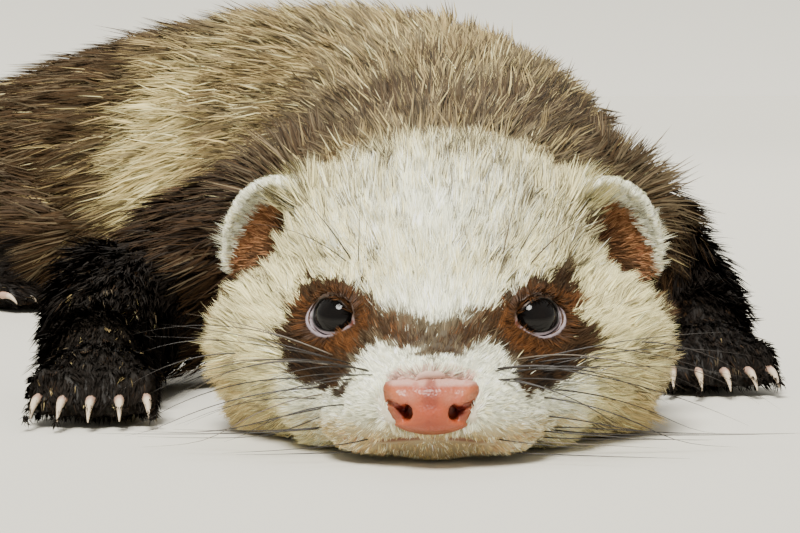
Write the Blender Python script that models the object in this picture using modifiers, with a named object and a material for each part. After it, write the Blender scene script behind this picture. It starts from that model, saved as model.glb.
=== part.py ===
"""A life-size ferret that lies flat on its belly with its chin on the floor.

Its forelegs are spread beside its head, and its back end is curled round to its own right.
The animal faces -Y with +Z up, and left and right are its own, so its left side is at +X.
Lengths are in metres. The outer surface of each solid is the surface of the coat.
"""

import math
from collections import namedtuple

import bmesh
import bpy
from mathutils import Matrix, Vector
from mathutils.bvhtree import BVHTree

GAP = 0.0003
UP = Vector((0, 0, 1))

# The trunk is one long body of changing section, from the tip of the muzzle to the tip of the tail.
# x and y place each section in plan, half_width is at the height widest, and it reaches from low to top.
Section = namedtuple("Section", "x y half_width widest top low")
SECTIONS = {
    "nose": Section(0.0001, 0.0015, 0.0048, 0.0086, 0.0118, 0.0055),
    "lip": Section(0.0003, 0.0060, 0.0084, 0.0075, 0.0144, 0.0032),
    "muzzle": Section(0.0005, 0.0120, 0.0120, 0.0075, 0.0182, 0.0016),
    "stop": Section(0.0008, 0.0190, 0.0164, 0.0085, 0.0234, 0.0000),
    "brow": Section(0.0011, 0.0270, 0.0208, 0.0105, 0.0288, -0.0012),
    "temple": Section(0.0016, 0.0370, 0.0252, 0.0125, 0.0342, -0.0015),
    "ears": Section(0.0020, 0.0480, 0.0284, 0.0140, 0.0390, -0.0015),
    "occiput": Section(0.0024, 0.0580, 0.0296, 0.0155, 0.0426, -0.0015),
    "nape": Section(0.0029, 0.0700, 0.0300, 0.0175, 0.0462, -0.0015),
    "neck": Section(0.0038, 0.0860, 0.0304, 0.0190, 0.0492, -0.0015),
    "shoulders": Section(0.0048, 0.1060, 0.0330, 0.0200, 0.0528, -0.0015),
    "chest": Section(0.0052, 0.1350, 0.0370, 0.0210, 0.0575, -0.0015),
    "ribs": Section(0.0040, 0.1670, 0.0386, 0.0225, 0.0628, -0.0015),
    "waist": Section(-0.0060, 0.2090, 0.0386, 0.0245, 0.0685, -0.0015),
    "loin": Section(-0.0300, 0.2500, 0.0386, 0.0260, 0.0705, -0.0015),
    "hips": Section(-0.0620, 0.2810, 0.0382, 0.0250, 0.0655, -0.0015),
    "rump": Section(-0.0980, 0.2960, 0.0340, 0.0210, 0.0545, -0.0015),
    "croup": Section(-0.1260, 0.3000, 0.0235, 0.0160, 0.0400, -0.0012),
    "tail_root": Section(-0.1440, 0.2995, 0.0155, 0.0130, 0.0290, -0.0010),
    "tail_base": Section(-0.1660, 0.2950, 0.0128, 0.0118, 0.0245, -0.0008),
    "tail_middle": Section(-0.1920, 0.2850, 0.0122, 0.0112, 0.0232, -0.0008),
    "tail_lower": Section(-0.2150, 0.2700, 0.0106, 0.0098, 0.0202, -0.0007),
    "tail_end": Section(-0.2330, 0.2500, 0.0078, 0.0074, 0.0150, -0.0005),
    "tail_tip": Section(-0.2440, 0.2290, 0.0022, 0.0040, 0.0064, 0.0010),
}

# How fine the fused shapes are: the size of their cells, and the triangles that they keep
HEAD_VOXEL, HEAD_TRIANGLES = 0.0011, 2500
NOSE_VOXEL, NOSE_TRIANGLES = 0.00045, 640
LIMB_VOXEL, LIMB_TRIANGLES = 0.0017, 320
PAW_VOXEL, FORE_PAW_TRIANGLES, HIND_FOOT_TRIANGLES = 0.0008, 740, 660

ROUND_SIDES = 28
TAIL_SIDES = 16
RING_SPACING = 0.0085
# The exponents of the two halves of a section, where 2 is an ellipse
TOP_SQUARENESS = 2.2
UNDERSIDE_SQUARENESS = 2.7

HEAD_YAW = math.radians(2.4)
HEAD_TURN = Matrix.Rotation(-HEAD_YAW, 4, "Z")

# The swellings of the head are ellipsoids: a centre from the tip of the nose, and three radii.
# Those of the first table are on both sides.
HEAD_PAIRS = {
    "whisker_pad": ((0.0060, 0.0088, 0.0080), (0.0068, 0.0080, 0.0048)),
    "upper_lip": ((0.0078, 0.0130, 0.0052), (0.0082, 0.0098, 0.0044)),
    "muzzle_side": ((0.0100, 0.0155, 0.0082), (0.0062, 0.0095, 0.0062)),
    "jaw": ((0.0135, 0.0260, 0.0080), (0.0098, 0.0130, 0.0084)),
    "brow": ((0.0102, 0.0320, 0.0200), (0.0085, 0.0118, 0.0070)),
    "below_eye": ((0.0175, 0.0350, 0.0115), (0.0125, 0.0160, 0.0110)),
    "cheek": ((0.0212, 0.0420, 0.0120), (0.0142, 0.0175, 0.0126)),
    "ruff": ((0.0200, 0.0560, 0.0140), (0.0135, 0.0140, 0.0130)),
    "behind_ear": ((0.0180, 0.0610, 0.0210), (0.0135, 0.0110, 0.0140)),
}
HEAD_MIDDLE = {
    "bridge": ((0.0, 0.0090, 0.0118), (0.0055, 0.0090, 0.0040)),
    "chin": ((0.0, 0.0145, 0.0032), (0.0068, 0.0095, 0.0036)),
    "throat": ((0.0, 0.0240, 0.0034), (0.0105, 0.0120, 0.0045)),
}

EYE_RADIUS = 0.0039
EYE_CENTRE = Vector((0.0130, 0.0238, 0.0178))
EYE_AXIS = Vector((0.50, -0.80, 0.34)).normalized()
LID_THICKNESS = 0.0011
LID_OPENING = (0.0032, 0.0025)  # half its length and half its height
LID_CORNER = 0.0042  # how far the inner corner reaches from the middle of the eye

MOUTH_MIDDLE = 0.018  # how far behind the tip of the nose the lips curve round
MOUTH_SPREAD = math.radians(80)
# The height of the line between the lips, from the middle to the corner
MOUTH_LEVELS = (0.0039, 0.0037, 0.0035, 0.0034, 0.0035, 0.0038, 0.0042, 0.0048, 0.0056, 0.0066)
MOUTH_DEPTH = (0.0008, 0.0004)  # in the middle and at the corners

NOSE_CENTRE = Vector((0.0, 0.0012, 0.0086))
# The pad of the nose is two ellipsoids and a pair of wings, each an offset and three radii
NOSE_FORMS = (
    ((0.0, 0.0010, 0.0010), (0.0050, 0.0032, 0.0024)),
    ((0.0, 0.0004, -0.0010), (0.0042, 0.0030, 0.0027)),
    ((0.0034, 0.0012, 0.0004), (0.0027, 0.0028, 0.0026)),
    ((-0.0034, 0.0012, 0.0004), (0.0027, 0.0028, 0.0026)),
)
# Each nostril is a curved hole: offsets from the middle of the pad, with the hole's radius there
NOSTRIL = (
    ((0.0066, 0.0002, -0.0004), 0.0003),
    ((0.0048, -0.0010, -0.0008), 0.0007),
    ((0.0034, -0.0016, -0.0009), 0.0014),
    ((0.0024, 0.0012, -0.0007), 0.0007),
)

EAR_CENTRE = Vector((0.0252, 0.0530, 0.0275))
EAR_LENGTH = 0.0100  # half of it, along the root
EAR_REACH = 0.0088
EAR_THICKNESS = 0.0042
EAR_WALL = 0.0021

TOES = 5
# The fan of the toes, in shares of the palm: how far the middle toe reaches, how much less each
# toe beside it does, how far apart they are at base, knuckle and tip, and how thick they are
TOE_REACH = 1.42
TOE_SHORTER = 0.085
TOE_APART = (0.34, 0.38, 0.39)
TOE_FAN = 0.07
TOE_THICK = 0.31
TOE_TIP_HEIGHT = 0.0032
CLAW_RADIUS = 0.0010
FORE_CLAW = 0.0070
HIND_CLAW = 0.0052

CREAM = (0.80, 0.74, 0.62)
BROWN = (0.16, 0.11, 0.075)
GREY_BROWN = (0.36, 0.30, 0.23)
BLACK_BROWN = (0.025, 0.02, 0.018)
PINK = (0.72, 0.38, 0.32)
EYE_BLACK = (0.01, 0.01, 0.012)

COATS = {
    "coat_cream": (CREAM, 0.9),
    "coat_grey_brown": (GREY_BROWN, 0.9),
    "coat_brown": (BROWN, 0.9),
    "coat_black": (BLACK_BROWN, 0.9),
    "nose_leather": (PINK, 0.45),
    "eye_wet": (EYE_BLACK, 0.05),
}


def clear_scene():
    for thing in list(bpy.data.objects):
        bpy.data.objects.remove(thing, do_unlink=True)


def new_collection(name):
    made = bpy.data.collections.new(name)
    bpy.context.scene.collection.children.link(made)
    return made


def material(name):
    found = bpy.data.materials.get(name)
    if found:
        return found
    colour, roughness = COATS[name]
    made = bpy.data.materials.new(name)
    made.use_nodes = True
    shader = made.node_tree.nodes["Principled BSDF"]
    shader.inputs["Base Color"].default_value = (*colour, 1)
    shader.inputs["Roughness"].default_value = roughness
    shader.inputs["Metallic"].default_value = 0.0
    return made


def new_object(name, shape):
    """An object in the animal's collection, with its mesh read from a bmesh."""
    mesh = bpy.data.meshes.new(name)
    shape.to_mesh(mesh)
    shape.free()
    made = bpy.data.objects.new(name, mesh)
    bpy.data.collections["ferret"].objects.link(made)
    return made


def discard(*things):
    for thing in things:
        bpy.data.objects.remove(thing, do_unlink=True)


def apply_modifiers(thing):
    """Replaces the object's mesh by what its modifiers make of it."""
    graph = bpy.context.evaluated_depsgraph_get()
    mesh = bpy.data.meshes.new_from_object(thing.evaluated_get(graph))
    thing.modifiers.clear()
    thing.data = mesh


def boolean(thing, other, operation, keep_other=False):
    step = thing.modifiers.new(operation.lower(), "BOOLEAN")
    step.operation = operation
    step.solver = "EXACT"
    step.object = other
    apply_modifiers(thing)
    if not keep_other:
        discard(other)


def keep_largest(thing):
    """Removes every closed surface but the largest, so that the node is one body."""
    shape = bmesh.new()
    shape.from_mesh(thing.data)
    bmesh.ops.remove_doubles(shape, verts=shape.verts, dist=1e-7)
    left = set(shape.verts)
    islands = []
    while left:
        island = set()
        reached = [left.pop()]
        while reached:
            vertex = reached.pop()
            island.add(vertex)
            for edge in vertex.link_edges:
                neighbour = edge.other_vert(vertex)
                if neighbour in left:
                    left.discard(neighbour)
                    reached.append(neighbour)
        islands.append(island)
    islands.sort(key=len)
    dropped = [vertex for island in islands[:-1] for vertex in island]
    bmesh.ops.delete(shape, geom=dropped, context="VERTS")
    shape.to_mesh(thing.data)
    shape.free()


def swollen_copy(thing, distance):
    """A copy whose surface is moved outwards by a distance."""
    shape = bmesh.new()
    shape.from_mesh(thing.data)
    shape.normal_update()
    moves = [vertex.normal * distance for vertex in shape.verts]
    for vertex, move in zip(shape.verts, moves):
        vertex.co += move
    return new_object(thing.name + "_clearance", shape)


def trim(thing, neighbour):
    """Cuts the neighbour's space, and the gap round it, out of the object."""
    boolean(thing, swollen_copy(neighbour, GAP), "DIFFERENCE")
    keep_largest(thing)


def slice_off(thing, point, normal):
    """Removes what lies beyond a plane, on its normal's side, and closes the cut."""
    shape = bmesh.new()
    shape.from_mesh(thing.data)
    everything = shape.verts[:] + shape.edges[:] + shape.faces[:]
    bmesh.ops.bisect_plane(shape, geom=everything, plane_co=point, plane_no=normal, clear_outer=True)
    rim = [edge for edge in shape.edges if edge.is_boundary]
    bmesh.ops.holes_fill(shape, edges=rim, sides=0)
    bmesh.ops.triangulate(shape, faces=[face for face in shape.faces if len(face.verts) > 4])
    shape.to_mesh(thing.data)
    shape.free()


def rest_on_floor(thing):
    slice_off(thing, Vector((0, 0, 0)), -UP)


def ball(shape, centre, radii, turn=None):
    """Adds an ellipsoid of three radii, or of one, to a bmesh."""
    radii = radii if hasattr(radii, "__len__") else (radii, radii, radii)
    place = Matrix.Translation(centre) @ (turn or Matrix.Identity(4)) @ Matrix.Diagonal((*radii, 1))
    bmesh.ops.create_icosphere(shape, subdivisions=3, radius=1.0, matrix=place)


def chain(shape, joints):
    """Adds a limb of changing thickness: balls set close along the lines between its joints."""
    for (start, start_radius), (end, end_radius) in zip(joints, joints[1:]):
        start, end = Vector(start), Vector(end)
        steps = max(2, round((end - start).length / (0.2 * min(start_radius, end_radius))))
        for step in range(steps + 1):
            share = step / steps
            ball(shape, start.lerp(end, share), start_radius + (end_radius - start_radius) * share)


def fuse(thing, voxel, smoothing, triangles):
    """Makes one smooth closed surface of overlapping closed shapes."""
    remesh = thing.modifiers.new("fuse", "REMESH")
    remesh.mode = "VOXEL"
    remesh.voxel_size = voxel
    smooth = thing.modifiers.new("soften", "SMOOTH")
    smooth.factor = 0.5
    smooth.iterations = smoothing
    apply_modifiers(thing)
    thin = thing.modifiers.new("thin_out", "DECIMATE")
    count = sum(len(face.vertices) - 2 for face in thing.data.polygons)
    thin.ratio = min(1.0, triangles / count)
    apply_modifiers(thing)
    keep_largest(thing)


def tapered_tube(points, radii, sides_step=1):
    """A closed tube through the points, with its own radius at each."""
    curve = bpy.data.curves.new("tube", "CURVE")
    curve.dimensions = "3D"
    curve.bevel_depth = 1.0
    curve.bevel_resolution = sides_step
    curve.use_fill_caps = True
    spline = curve.splines.new("POLY")
    spline.points.add(len(points) - 1)
    for place, point, radius in zip(spline.points, points, radii):
        place.co = (*point, 1)
        place.radius = radius
    guide = bpy.data.objects.new("tube", curve)
    bpy.context.scene.collection.objects.link(guide)
    graph = bpy.context.evaluated_depsgraph_get()
    mesh = bpy.data.meshes.new_from_object(guide.evaluated_get(graph))
    discard(guide)
    shape = bmesh.new()
    shape.from_mesh(mesh)
    bmesh.ops.remove_doubles(shape, verts=shape.verts, dist=1e-6)
    bmesh.ops.recalc_face_normals(shape, faces=shape.faces)
    return new_object("tube", shape)


def mirrored(vector, side):
    return Vector((vector[0] * side, vector[1], vector[2]))


def in_head(vector):
    """A point of the straight head, carried to where the turned head has it."""
    return HEAD_TURN @ Vector(vector)


def section_at(place):
    """The section at a place along the body, counted in sections from the nose."""
    rows = list(SECTIONS.values())
    place = min(max(place, 0.0), len(rows) - 1.0)
    index = min(int(place), len(rows) - 2)
    share = place - index
    before = rows[max(index - 1, 0)]
    start, end = rows[index], rows[index + 1]
    after = rows[min(index + 2, len(rows) - 1)]
    reach = math.dist(start[:2], end[:2])
    lead_in = reach / max(math.dist(before[:2], end[:2]), 1e-9)
    lead_out = reach / max(math.dist(start[:2], after[:2]), 1e-9)
    h = (2 * share**3 - 3 * share**2 + 1, share**3 - 2 * share**2 + share)
    k = (-2 * share**3 + 3 * share**2, share**3 - share**2)
    values = [
        h[0] * b + h[1] * lead_in * (c - a) + k[0] * c + k[1] * lead_out * (d - b)
        for a, b, c, d in zip(before, start, end, after)
    ]
    return Section(*values)


def heading(place):
    """The direction in plan in which the body runs, from nose to tail, at a place along it."""
    ahead, behind = section_at(place + 0.05), section_at(place - 0.05)
    return Vector((ahead.x - behind.x, ahead.y - behind.y, 0)).normalized()


def place_of(name):
    return float(list(SECTIONS).index(name))


def add_ring(shape, place, shift, sides):
    """Adds the vertices of one section, moved by shift along the body."""
    section = section_at(place)
    along = heading(place)
    across = Vector((along.y, -along.x, 0))
    centre = Vector((section.x, section.y, 0)) + along * shift
    ring = []
    for step in range(sides):
        angle = 2 * math.pi * step / sides
        below = step > sides // 2
        power = 2 / (UNDERSIDE_SQUARENESS if below else TOP_SQUARENESS)
        width = math.copysign(abs(math.cos(angle)) ** power, math.cos(angle))
        height = abs(math.sin(angle)) ** power
        if below:
            level = section.widest - (section.widest - section.low) * height
        else:
            level = section.widest + (section.top - section.widest) * height
        point = centre - across * (width * section.half_width)
        point.z = max(level, 0.0)
        ring.append(shape.verts.new(point))
    return ring


def loft(shape, first, last, sides, start_shift=0.0, end_shift=0.0):
    """Adds the closed stretch of body between two places along it."""
    places = [first]
    step = 0.05
    here = first
    while here < last:
        here = min(here + step, last)
        gone = math.dist(section_at(here)[:2], section_at(places[-1])[:2])
        if gone >= RING_SPACING or here == last:
            places.append(here)
    rings = []
    for place in places:
        shift = start_shift if place == first else end_shift if place == last else 0.0
        rings.append(add_ring(shape, place, shift, sides))
    for ring, following in zip(rings, rings[1:]):
        for step in range(sides):
            after = (step + 1) % sides
            shape.faces.new((ring[step], ring[after], following[after], following[step]))
    shape.faces.new(reversed(rings[0]))
    shape.faces.new(rings[-1])


def stretch_of_trunk(name, first, last, coat, sides=ROUND_SIDES):
    """One node of the trunk, with half the gap taken from each end that meets another."""
    shape = bmesh.new()
    open_end = last >= len(SECTIONS) - 1
    loft(shape, first, last, sides, GAP / 2, 0.0 if open_end else -GAP / 2)
    bmesh.ops.recalc_face_normals(shape, faces=shape.faces)
    bmesh.ops.triangulate(shape, faces=shape.faces)
    made = new_object(name, shape)
    made.data.materials.append(material(coat))
    return made


HEAD_END = place_of("nape") - 0.35
TRUNK = (
    ("neck", HEAD_END, place_of("neck") + 0.35, "coat_cream"),
    ("chest", place_of("neck") + 0.35, place_of("ribs"), "coat_grey_brown"),
    ("loin", place_of("ribs"), place_of("loin") + 0.5, "coat_grey_brown"),
    ("rump", place_of("loin") + 0.5, place_of("tail_root") - 0.25, "coat_brown"),
)
TAIL = (
    ("tail_base", place_of("tail_root") - 0.25, place_of("tail_middle"), "coat_brown"),
    ("tail_end", place_of("tail_middle"), float(len(SECTIONS) - 1), "coat_black"),
)


def build_trunk():
    nodes = {name: stretch_of_trunk(name, first, last, coat) for name, first, last, coat in TRUNK}
    for name, first, last, coat in TAIL:
        nodes[name] = stretch_of_trunk(name, first, last, coat, TAIL_SIDES)
    return nodes


def head_volumes():
    """The overlapping forms of the head: its core, and the swellings that shape the face."""
    shape = bmesh.new()
    loft(shape, 0.0, place_of("neck"), ROUND_SIDES)
    bmesh.ops.recalc_face_normals(shape, faces=shape.faces)
    for centre, radii in HEAD_PAIRS.values():
        for side in (-1, 1):
            ball(shape, in_head(mirrored(centre, side)), radii, HEAD_TURN)
    for centre, radii in HEAD_MIDDLE.values():
        ball(shape, in_head(centre), radii, HEAD_TURN)
    return shape


def muzzle_point(surface, angle, level):
    """The point of the muzzle's surface at a height, seen at an angle from its middle."""
    outward = in_head((math.sin(angle), -math.cos(angle), 0))
    middle = in_head((0, MOUTH_MIDDLE, level))
    return surface.ray_cast(middle + outward * 0.05, -outward)[0]


def cut_mouth(head):
    """A groove for the line of the lips, from one cheek to the other, and one below the nose."""
    surface = BVHTree.FromObject(head, bpy.context.evaluated_depsgraph_get())
    last = len(MOUTH_LEVELS) - 1
    line = []
    for step in range(-last, last + 1):
        angle = MOUTH_SPREAD * step / last
        line.append(muzzle_point(surface, angle, MOUTH_LEVELS[abs(step)]))
    deep, shallow = MOUTH_DEPTH
    radii = [deep + (shallow - deep) * abs(step) / last for step in range(-last, last + 1)]
    boolean(head, tapered_tube(line, radii), "DIFFERENCE")
    groove = [muzzle_point(surface, 0, level) for level in (0.0060, 0.0048, 0.0038)]
    boolean(head, tapered_tube(groove, (0.0005, 0.0004, 0.0003)), "DIFFERENCE")
    keep_largest(head)


def eye_frame(side):
    """The eye's own frame: X along the slit towards the nose, Y up the lid, Z out of the head."""
    outward = in_head(mirrored(EYE_AXIS, side))
    inward = in_head((-side, -0.35, -0.22))
    along = (inward - outward * inward.dot(outward)).normalized()
    lid = outward.cross(along).normalized()
    turn = Matrix((along, lid, outward)).transposed().to_4x4()
    return Matrix.Translation(in_head(mirrored(EYE_CENTRE, side))) @ turn


def lid_outline(share):
    """The eye's opening, round at its outer end and drawn to a point at the inner corner."""
    angle = 2 * math.pi * share
    half_length, half_height = LID_OPENING
    x, y = math.cos(angle), math.sin(angle)
    if x > 0:
        return x * LID_CORNER, y * half_height * (1 - 0.45 * x * x)
    return x * half_length, y * half_height


def lid_cutter(side):
    """A prism through the lids in the shape of the eye's opening."""
    shape = bmesh.new()
    sides = 20
    outline = [lid_outline(step / sides) for step in range(sides)]
    depth = EYE_RADIUS * 2.2
    base = shape.faces.new([shape.verts.new((x, y, EYE_RADIUS * 0.2)) for x, y in outline])
    raised = bmesh.ops.extrude_face_region(shape, geom=[base])["geom"]
    lifted = [part for part in raised if isinstance(part, bmesh.types.BMVert)]
    bmesh.ops.translate(shape, verts=lifted, vec=(0, 0, depth))
    bmesh.ops.transform(shape, verts=shape.verts, matrix=eye_frame(side))
    bmesh.ops.recalc_face_normals(shape, faces=shape.faces)
    return new_object("lid_cutter", shape)


def sphere(name, centre, radius, subdivisions=3):
    shape = bmesh.new()
    place = Matrix.Translation(centre) @ Matrix.Rotation(0.3, 4, "X")
    bmesh.ops.create_icosphere(shape, subdivisions=subdivisions, radius=radius, matrix=place)
    return new_object(name, shape)


def cut_eye(head, side):
    """Raises the lids over the eyeball, then opens them and the socket behind."""
    centre = in_head(mirrored(EYE_CENTRE, side))
    boolean(head, sphere("lids", centre, EYE_RADIUS + LID_THICKNESS), "UNION")
    boolean(head, sphere("socket", centre, EYE_RADIUS + GAP), "DIFFERENCE")
    boolean(head, lid_cutter(side), "DIFFERENCE")
    keep_largest(head)


def build_eye(name, side):
    eye = sphere(name, in_head(mirrored(EYE_CENTRE, side)), EYE_RADIUS)
    eye.data.materials.append(material("eye_wet"))
    eye.data.shade_smooth()
    return eye


def build_nose():
    """The bare pad of the nose, wide above and narrow below, with its two nostrils.

    What is returned is the recess that it needs in the muzzle.
    """
    shape = bmesh.new()
    for offset, radii in NOSE_FORMS:
        ball(shape, in_head(NOSE_CENTRE + Vector(offset)), radii, HEAD_TURN)
    nose = new_object("nose", shape)
    fuse(nose, NOSE_VOXEL, 3, NOSE_TRIANGLES)
    recess = swollen_copy(nose, GAP)
    for side in (-1, 1):
        path = [in_head(NOSE_CENTRE + mirrored(offset, side)) for offset, radius in NOSTRIL]
        boolean(nose, tapered_tube(path, [radius for offset, radius in NOSTRIL], 2), "DIFFERENCE")
    keep_largest(nose)
    nose.data.materials.append(material("nose_leather"))
    return recess


def build_head(recess):
    head = new_object("head", head_volumes())
    fuse(head, HEAD_VOXEL, 6, HEAD_TRIANGLES)
    end = section_at(HEAD_END)
    along = heading(HEAD_END)
    slice_off(head, Vector((end.x, end.y, 0)) - along * (GAP / 2), along)
    rest_on_floor(head)
    for side in (-1, 1):
        cut_eye(head, side)
    cut_mouth(head)
    boolean(head, recess, "DIFFERENCE")
    keep_largest(head)
    head.data.materials.append(material("coat_cream"))
    return head


def build_ear(name, side, head):
    """A rounded ear with a cup that faces forwards, its root shaped to the head."""
    root = in_head(mirrored((0.33, 0.14, -0.93), side)).normalized()
    facing = in_head(mirrored((0.42, -0.90, 0.10), side))
    facing = (facing - root * facing.dot(root)).normalized()
    outward = root.cross(facing).normalized()
    if outward.x * side < 0:
        outward = -outward
    centre = in_head(mirrored(EAR_CENTRE, side))
    turn = Matrix((root, outward, facing)).transposed()
    if turn.determinant() < 0:
        turn = Matrix((-root, outward, facing)).transposed()
    shape = bmesh.new()
    ball(shape, centre, (EAR_LENGTH, EAR_REACH, EAR_THICKNESS), turn.to_4x4())
    ear = new_object(name, shape)
    shape = bmesh.new()
    hollow = (EAR_LENGTH - EAR_WALL, EAR_REACH - EAR_WALL, EAR_THICKNESS)
    ball(shape, centre + facing * (EAR_WALL + 0.0006) - outward * 0.0008, hollow, turn.to_4x4())
    boolean(ear, new_object("ear_cup", shape), "DIFFERENCE")
    trim(ear, head)
    ear.data.materials.append(material("coat_cream"))
    return ear


def limb(name, joints, coat):
    """One stretch of a leg, through joints that each have a place and a radius."""
    shape = bmesh.new()
    chain(shape, joints)
    made = new_object(name, shape)
    fuse(made, LIMB_VOXEL, 6, LIMB_TRIANGLES)
    rest_on_floor(made)
    made.data.materials.append(material(coat))
    return made


def claw(root, forward, length):
    """A curved, tapered claw that leaves the toe forwards and bends down to the floor."""
    steps = 4
    points = []
    radii = []
    here = root - forward * (CLAW_RADIUS * 1.6)
    for step in range(steps + 1):
        share = step / steps
        points.append(here.copy())
        radii.append(CLAW_RADIUS * (1 - 0.86 * share**1.4))
        dive = math.radians(-4 + 62 * share)
        here = here + (forward * math.cos(dive) - UP * math.sin(dive)) * (length / steps)
    lowest = min(point.z - radius for point, radius in zip(points, radii))
    lift = max(0.0, 0.0002 - lowest)
    points = [point + UP * (lift * step / steps) for step, point in enumerate(points)]
    return tapered_tube(points, radii)


def build_paw(name, wrist, palm, turn_out, claw_length, palm_size, triangles):
    """A paw on the floor: palm, five toes that fan out from it, and a claw on each."""
    wrist, palm = Vector(wrist), Vector(palm)
    forward = Vector((palm.x - wrist.x, palm.y - wrist.y, 0)).normalized()
    forward.rotate(Matrix.Rotation(turn_out, 3, "Z"))
    across = forward.cross(UP)
    length, width, height = palm_size
    frame = Matrix((across, forward, UP)).transposed().to_4x4()
    shape = bmesh.new()
    ball(shape, palm, (width, length, height), frame)
    chain(shape, ((wrist - forward * 0.004, wrist.z), (wrist, wrist.z), (palm, height * 0.9)))
    toes = []
    for toe in range(TOES):
        spread = toe - (TOES - 1) / 2
        reach = length * (TOE_REACH - TOE_SHORTER * spread * spread)
        heading_out = (forward + across * (TOE_FAN * spread)).normalized()
        at_base, at_knuckle, at_tip = (across * (width * apart * spread) for apart in TOE_APART)
        base = palm + at_base + forward * (length * 0.35)
        base.z = height * 0.92
        knuckle = palm + at_knuckle + heading_out * (reach * 0.66)
        knuckle.z = height * 1.05
        tip = palm + at_tip + heading_out * reach
        tip.z = TOE_TIP_HEIGHT
        thick = width * TOE_THICK
        chain(shape, ((base, thick), (knuckle, thick), (tip, thick * 0.84)))
        toes.append((tip + UP * 0.0008 + heading_out * (thick * 0.5), heading_out))
    paw = new_object(name, shape)
    fuse(paw, PAW_VOXEL, 3, triangles)
    rest_on_floor(paw)
    for root, direction in toes:
        boolean(paw, claw(root, direction, claw_length), "UNION")
    keep_largest(paw)
    paw.data.materials.append(material("coat_black"))
    return paw


Foreleg = namedtuple("Foreleg", "shoulder upper elbow forearm wrist palm turn_out")
FORELEGS = {
    "right": Foreleg(
        (-0.0210, 0.1080, 0.0250),
        (-0.0380, 0.1010, 0.0200),
        (-0.0500, 0.0940, 0.0140),
        (-0.0515, 0.0800, 0.0108),
        (-0.0510, 0.0680, 0.0082),
        (-0.0500, 0.0570, 0.0060),
        math.radians(-3),
    ),
    "left": Foreleg(
        (0.0280, 0.1150, 0.0250),
        (0.0385, 0.1220, 0.0200),
        (0.0435, 0.1300, 0.0140),
        (0.0460, 0.1180, 0.0108),
        (0.0470, 0.1070, 0.0082),
        (0.0475, 0.0960, 0.0060),
        math.radians(2),
    ),
}
# How thick each limb is at its joints, from the end nearer the body
UPPER_ARM_RADII = (0.0180, 0.0156, 0.0122)
FOREARM_RADII = (0.0132, 0.0116, 0.0094, 0.0076)
THIGH_RADII = (0.0195, 0.0122)
SHANK_RADII = (0.0128, 0.0104, 0.0080)
# Half the length, half the width and the height of the palms
FORE_PALM = (0.0084, 0.0088, 0.0060)
HIND_PALM = (0.0100, 0.0078, 0.0050)
# The hind leg's joints from the middle of the rump: how far ahead, how far out and how high
HIP = (-0.004, 0.0200, 0.0270)
KNEE = (0.028, 0.0300, 0.0165)
HEEL = (-0.008, 0.0375, 0.0064)
HIND_PALM_PLACE = (0.014, 0.0395, 0.0052)
HIND_TURN_OUT = math.radians(-6)


def build_foreleg(side, nodes):
    leg = FORELEGS[side]
    paw = build_paw(
        "fore_paw_" + side, leg.wrist, leg.palm, leg.turn_out, FORE_CLAW, FORE_PALM, FORE_PAW_TRIANGLES
    )
    reach = (Vector(leg.palm) - Vector(leg.wrist)).normalized()
    forearm = limb(
        "forearm_" + side,
        tuple(zip((leg.elbow, leg.forearm, leg.wrist, leg.palm), FOREARM_RADII)),
        "coat_black",
    )
    cut = Vector(leg.wrist) + reach * 0.001
    slice_off(forearm, cut - reach * (GAP / 2), reach)
    slice_off(paw, cut + reach * (GAP / 2), -reach)
    keep_largest(paw)
    upper = limb(
        "upper_arm_" + side,
        tuple(zip((leg.shoulder, leg.upper, leg.elbow), UPPER_ARM_RADII)),
        "coat_black",
    )
    for neighbour in ("neck", "chest"):
        trim(upper, nodes[neighbour])
        trim(forearm, nodes[neighbour])
    trim(upper, forearm)
    nodes.update({thing.name: thing for thing in (paw, forearm, upper)})


def build_hind_leg(side, nodes):
    """The folded hind leg, placed from the middle of the rump: knee forwards, foot flat beside it."""
    sign = 1 if side == "right" else -1
    place = place_of("rump")
    section = section_at(place)
    forward = -heading(place)
    out = forward.cross(UP) * sign
    middle = Vector((section.x, section.y, 0))

    def point(joint):
        ahead, aside, height = joint
        return middle + forward * ahead + out * aside + UP * height

    hip, knee, heel, palm = (point(joint) for joint in (HIP, KNEE, HEEL, HIND_PALM_PLACE))
    foot = build_paw(
        "hind_foot_" + side, heel, palm, HIND_TURN_OUT * sign, HIND_CLAW, HIND_PALM, HIND_FOOT_TRIANGLES
    )
    calf = knee.lerp(heel, 0.5) + UP * 0.003
    ankle = heel + UP * 0.002
    shank = limb("shank_" + side, tuple(zip((knee, calf, ankle), SHANK_RADII)), "coat_black")
    trim(shank, foot)
    thigh = limb("thigh_" + side, tuple(zip((hip, knee), THIGH_RADII)), "coat_brown")
    for neighbour in ("rump", "loin"):
        trim(shank, nodes[neighbour])
        trim(thigh, nodes[neighbour])
        trim(foot, nodes[neighbour])
    trim(thigh, shank)
    trim(thigh, foot)
    nodes.update({thing.name: thing for thing in (foot, shank, thigh)})


def centre_on_footprint():
    """Moves the animal so that the middle of its footprint is the origin."""
    things = list(bpy.data.collections["ferret"].objects)
    corners = [vertex.co for thing in things for vertex in thing.data.vertices]
    middle_x = (min(c.x for c in corners) + max(c.x for c in corners)) / 2
    middle_y = (min(c.y for c in corners) + max(c.y for c in corners)) / 2
    for thing in things:
        thing.data.transform(Matrix.Translation((-middle_x, -middle_y, 0)))


def main():
    clear_scene()
    new_collection("ferret")
    nodes = build_trunk()
    head = build_head(build_nose())
    for side, sign in (("left", 1), ("right", -1)):
        build_eye("eye_" + side, sign)
        build_ear("ear_" + side, sign, head)
    for side in FORELEGS:
        build_foreleg(side, nodes)
        build_hind_leg(side, nodes)
    centre_on_footprint()


main()
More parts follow.
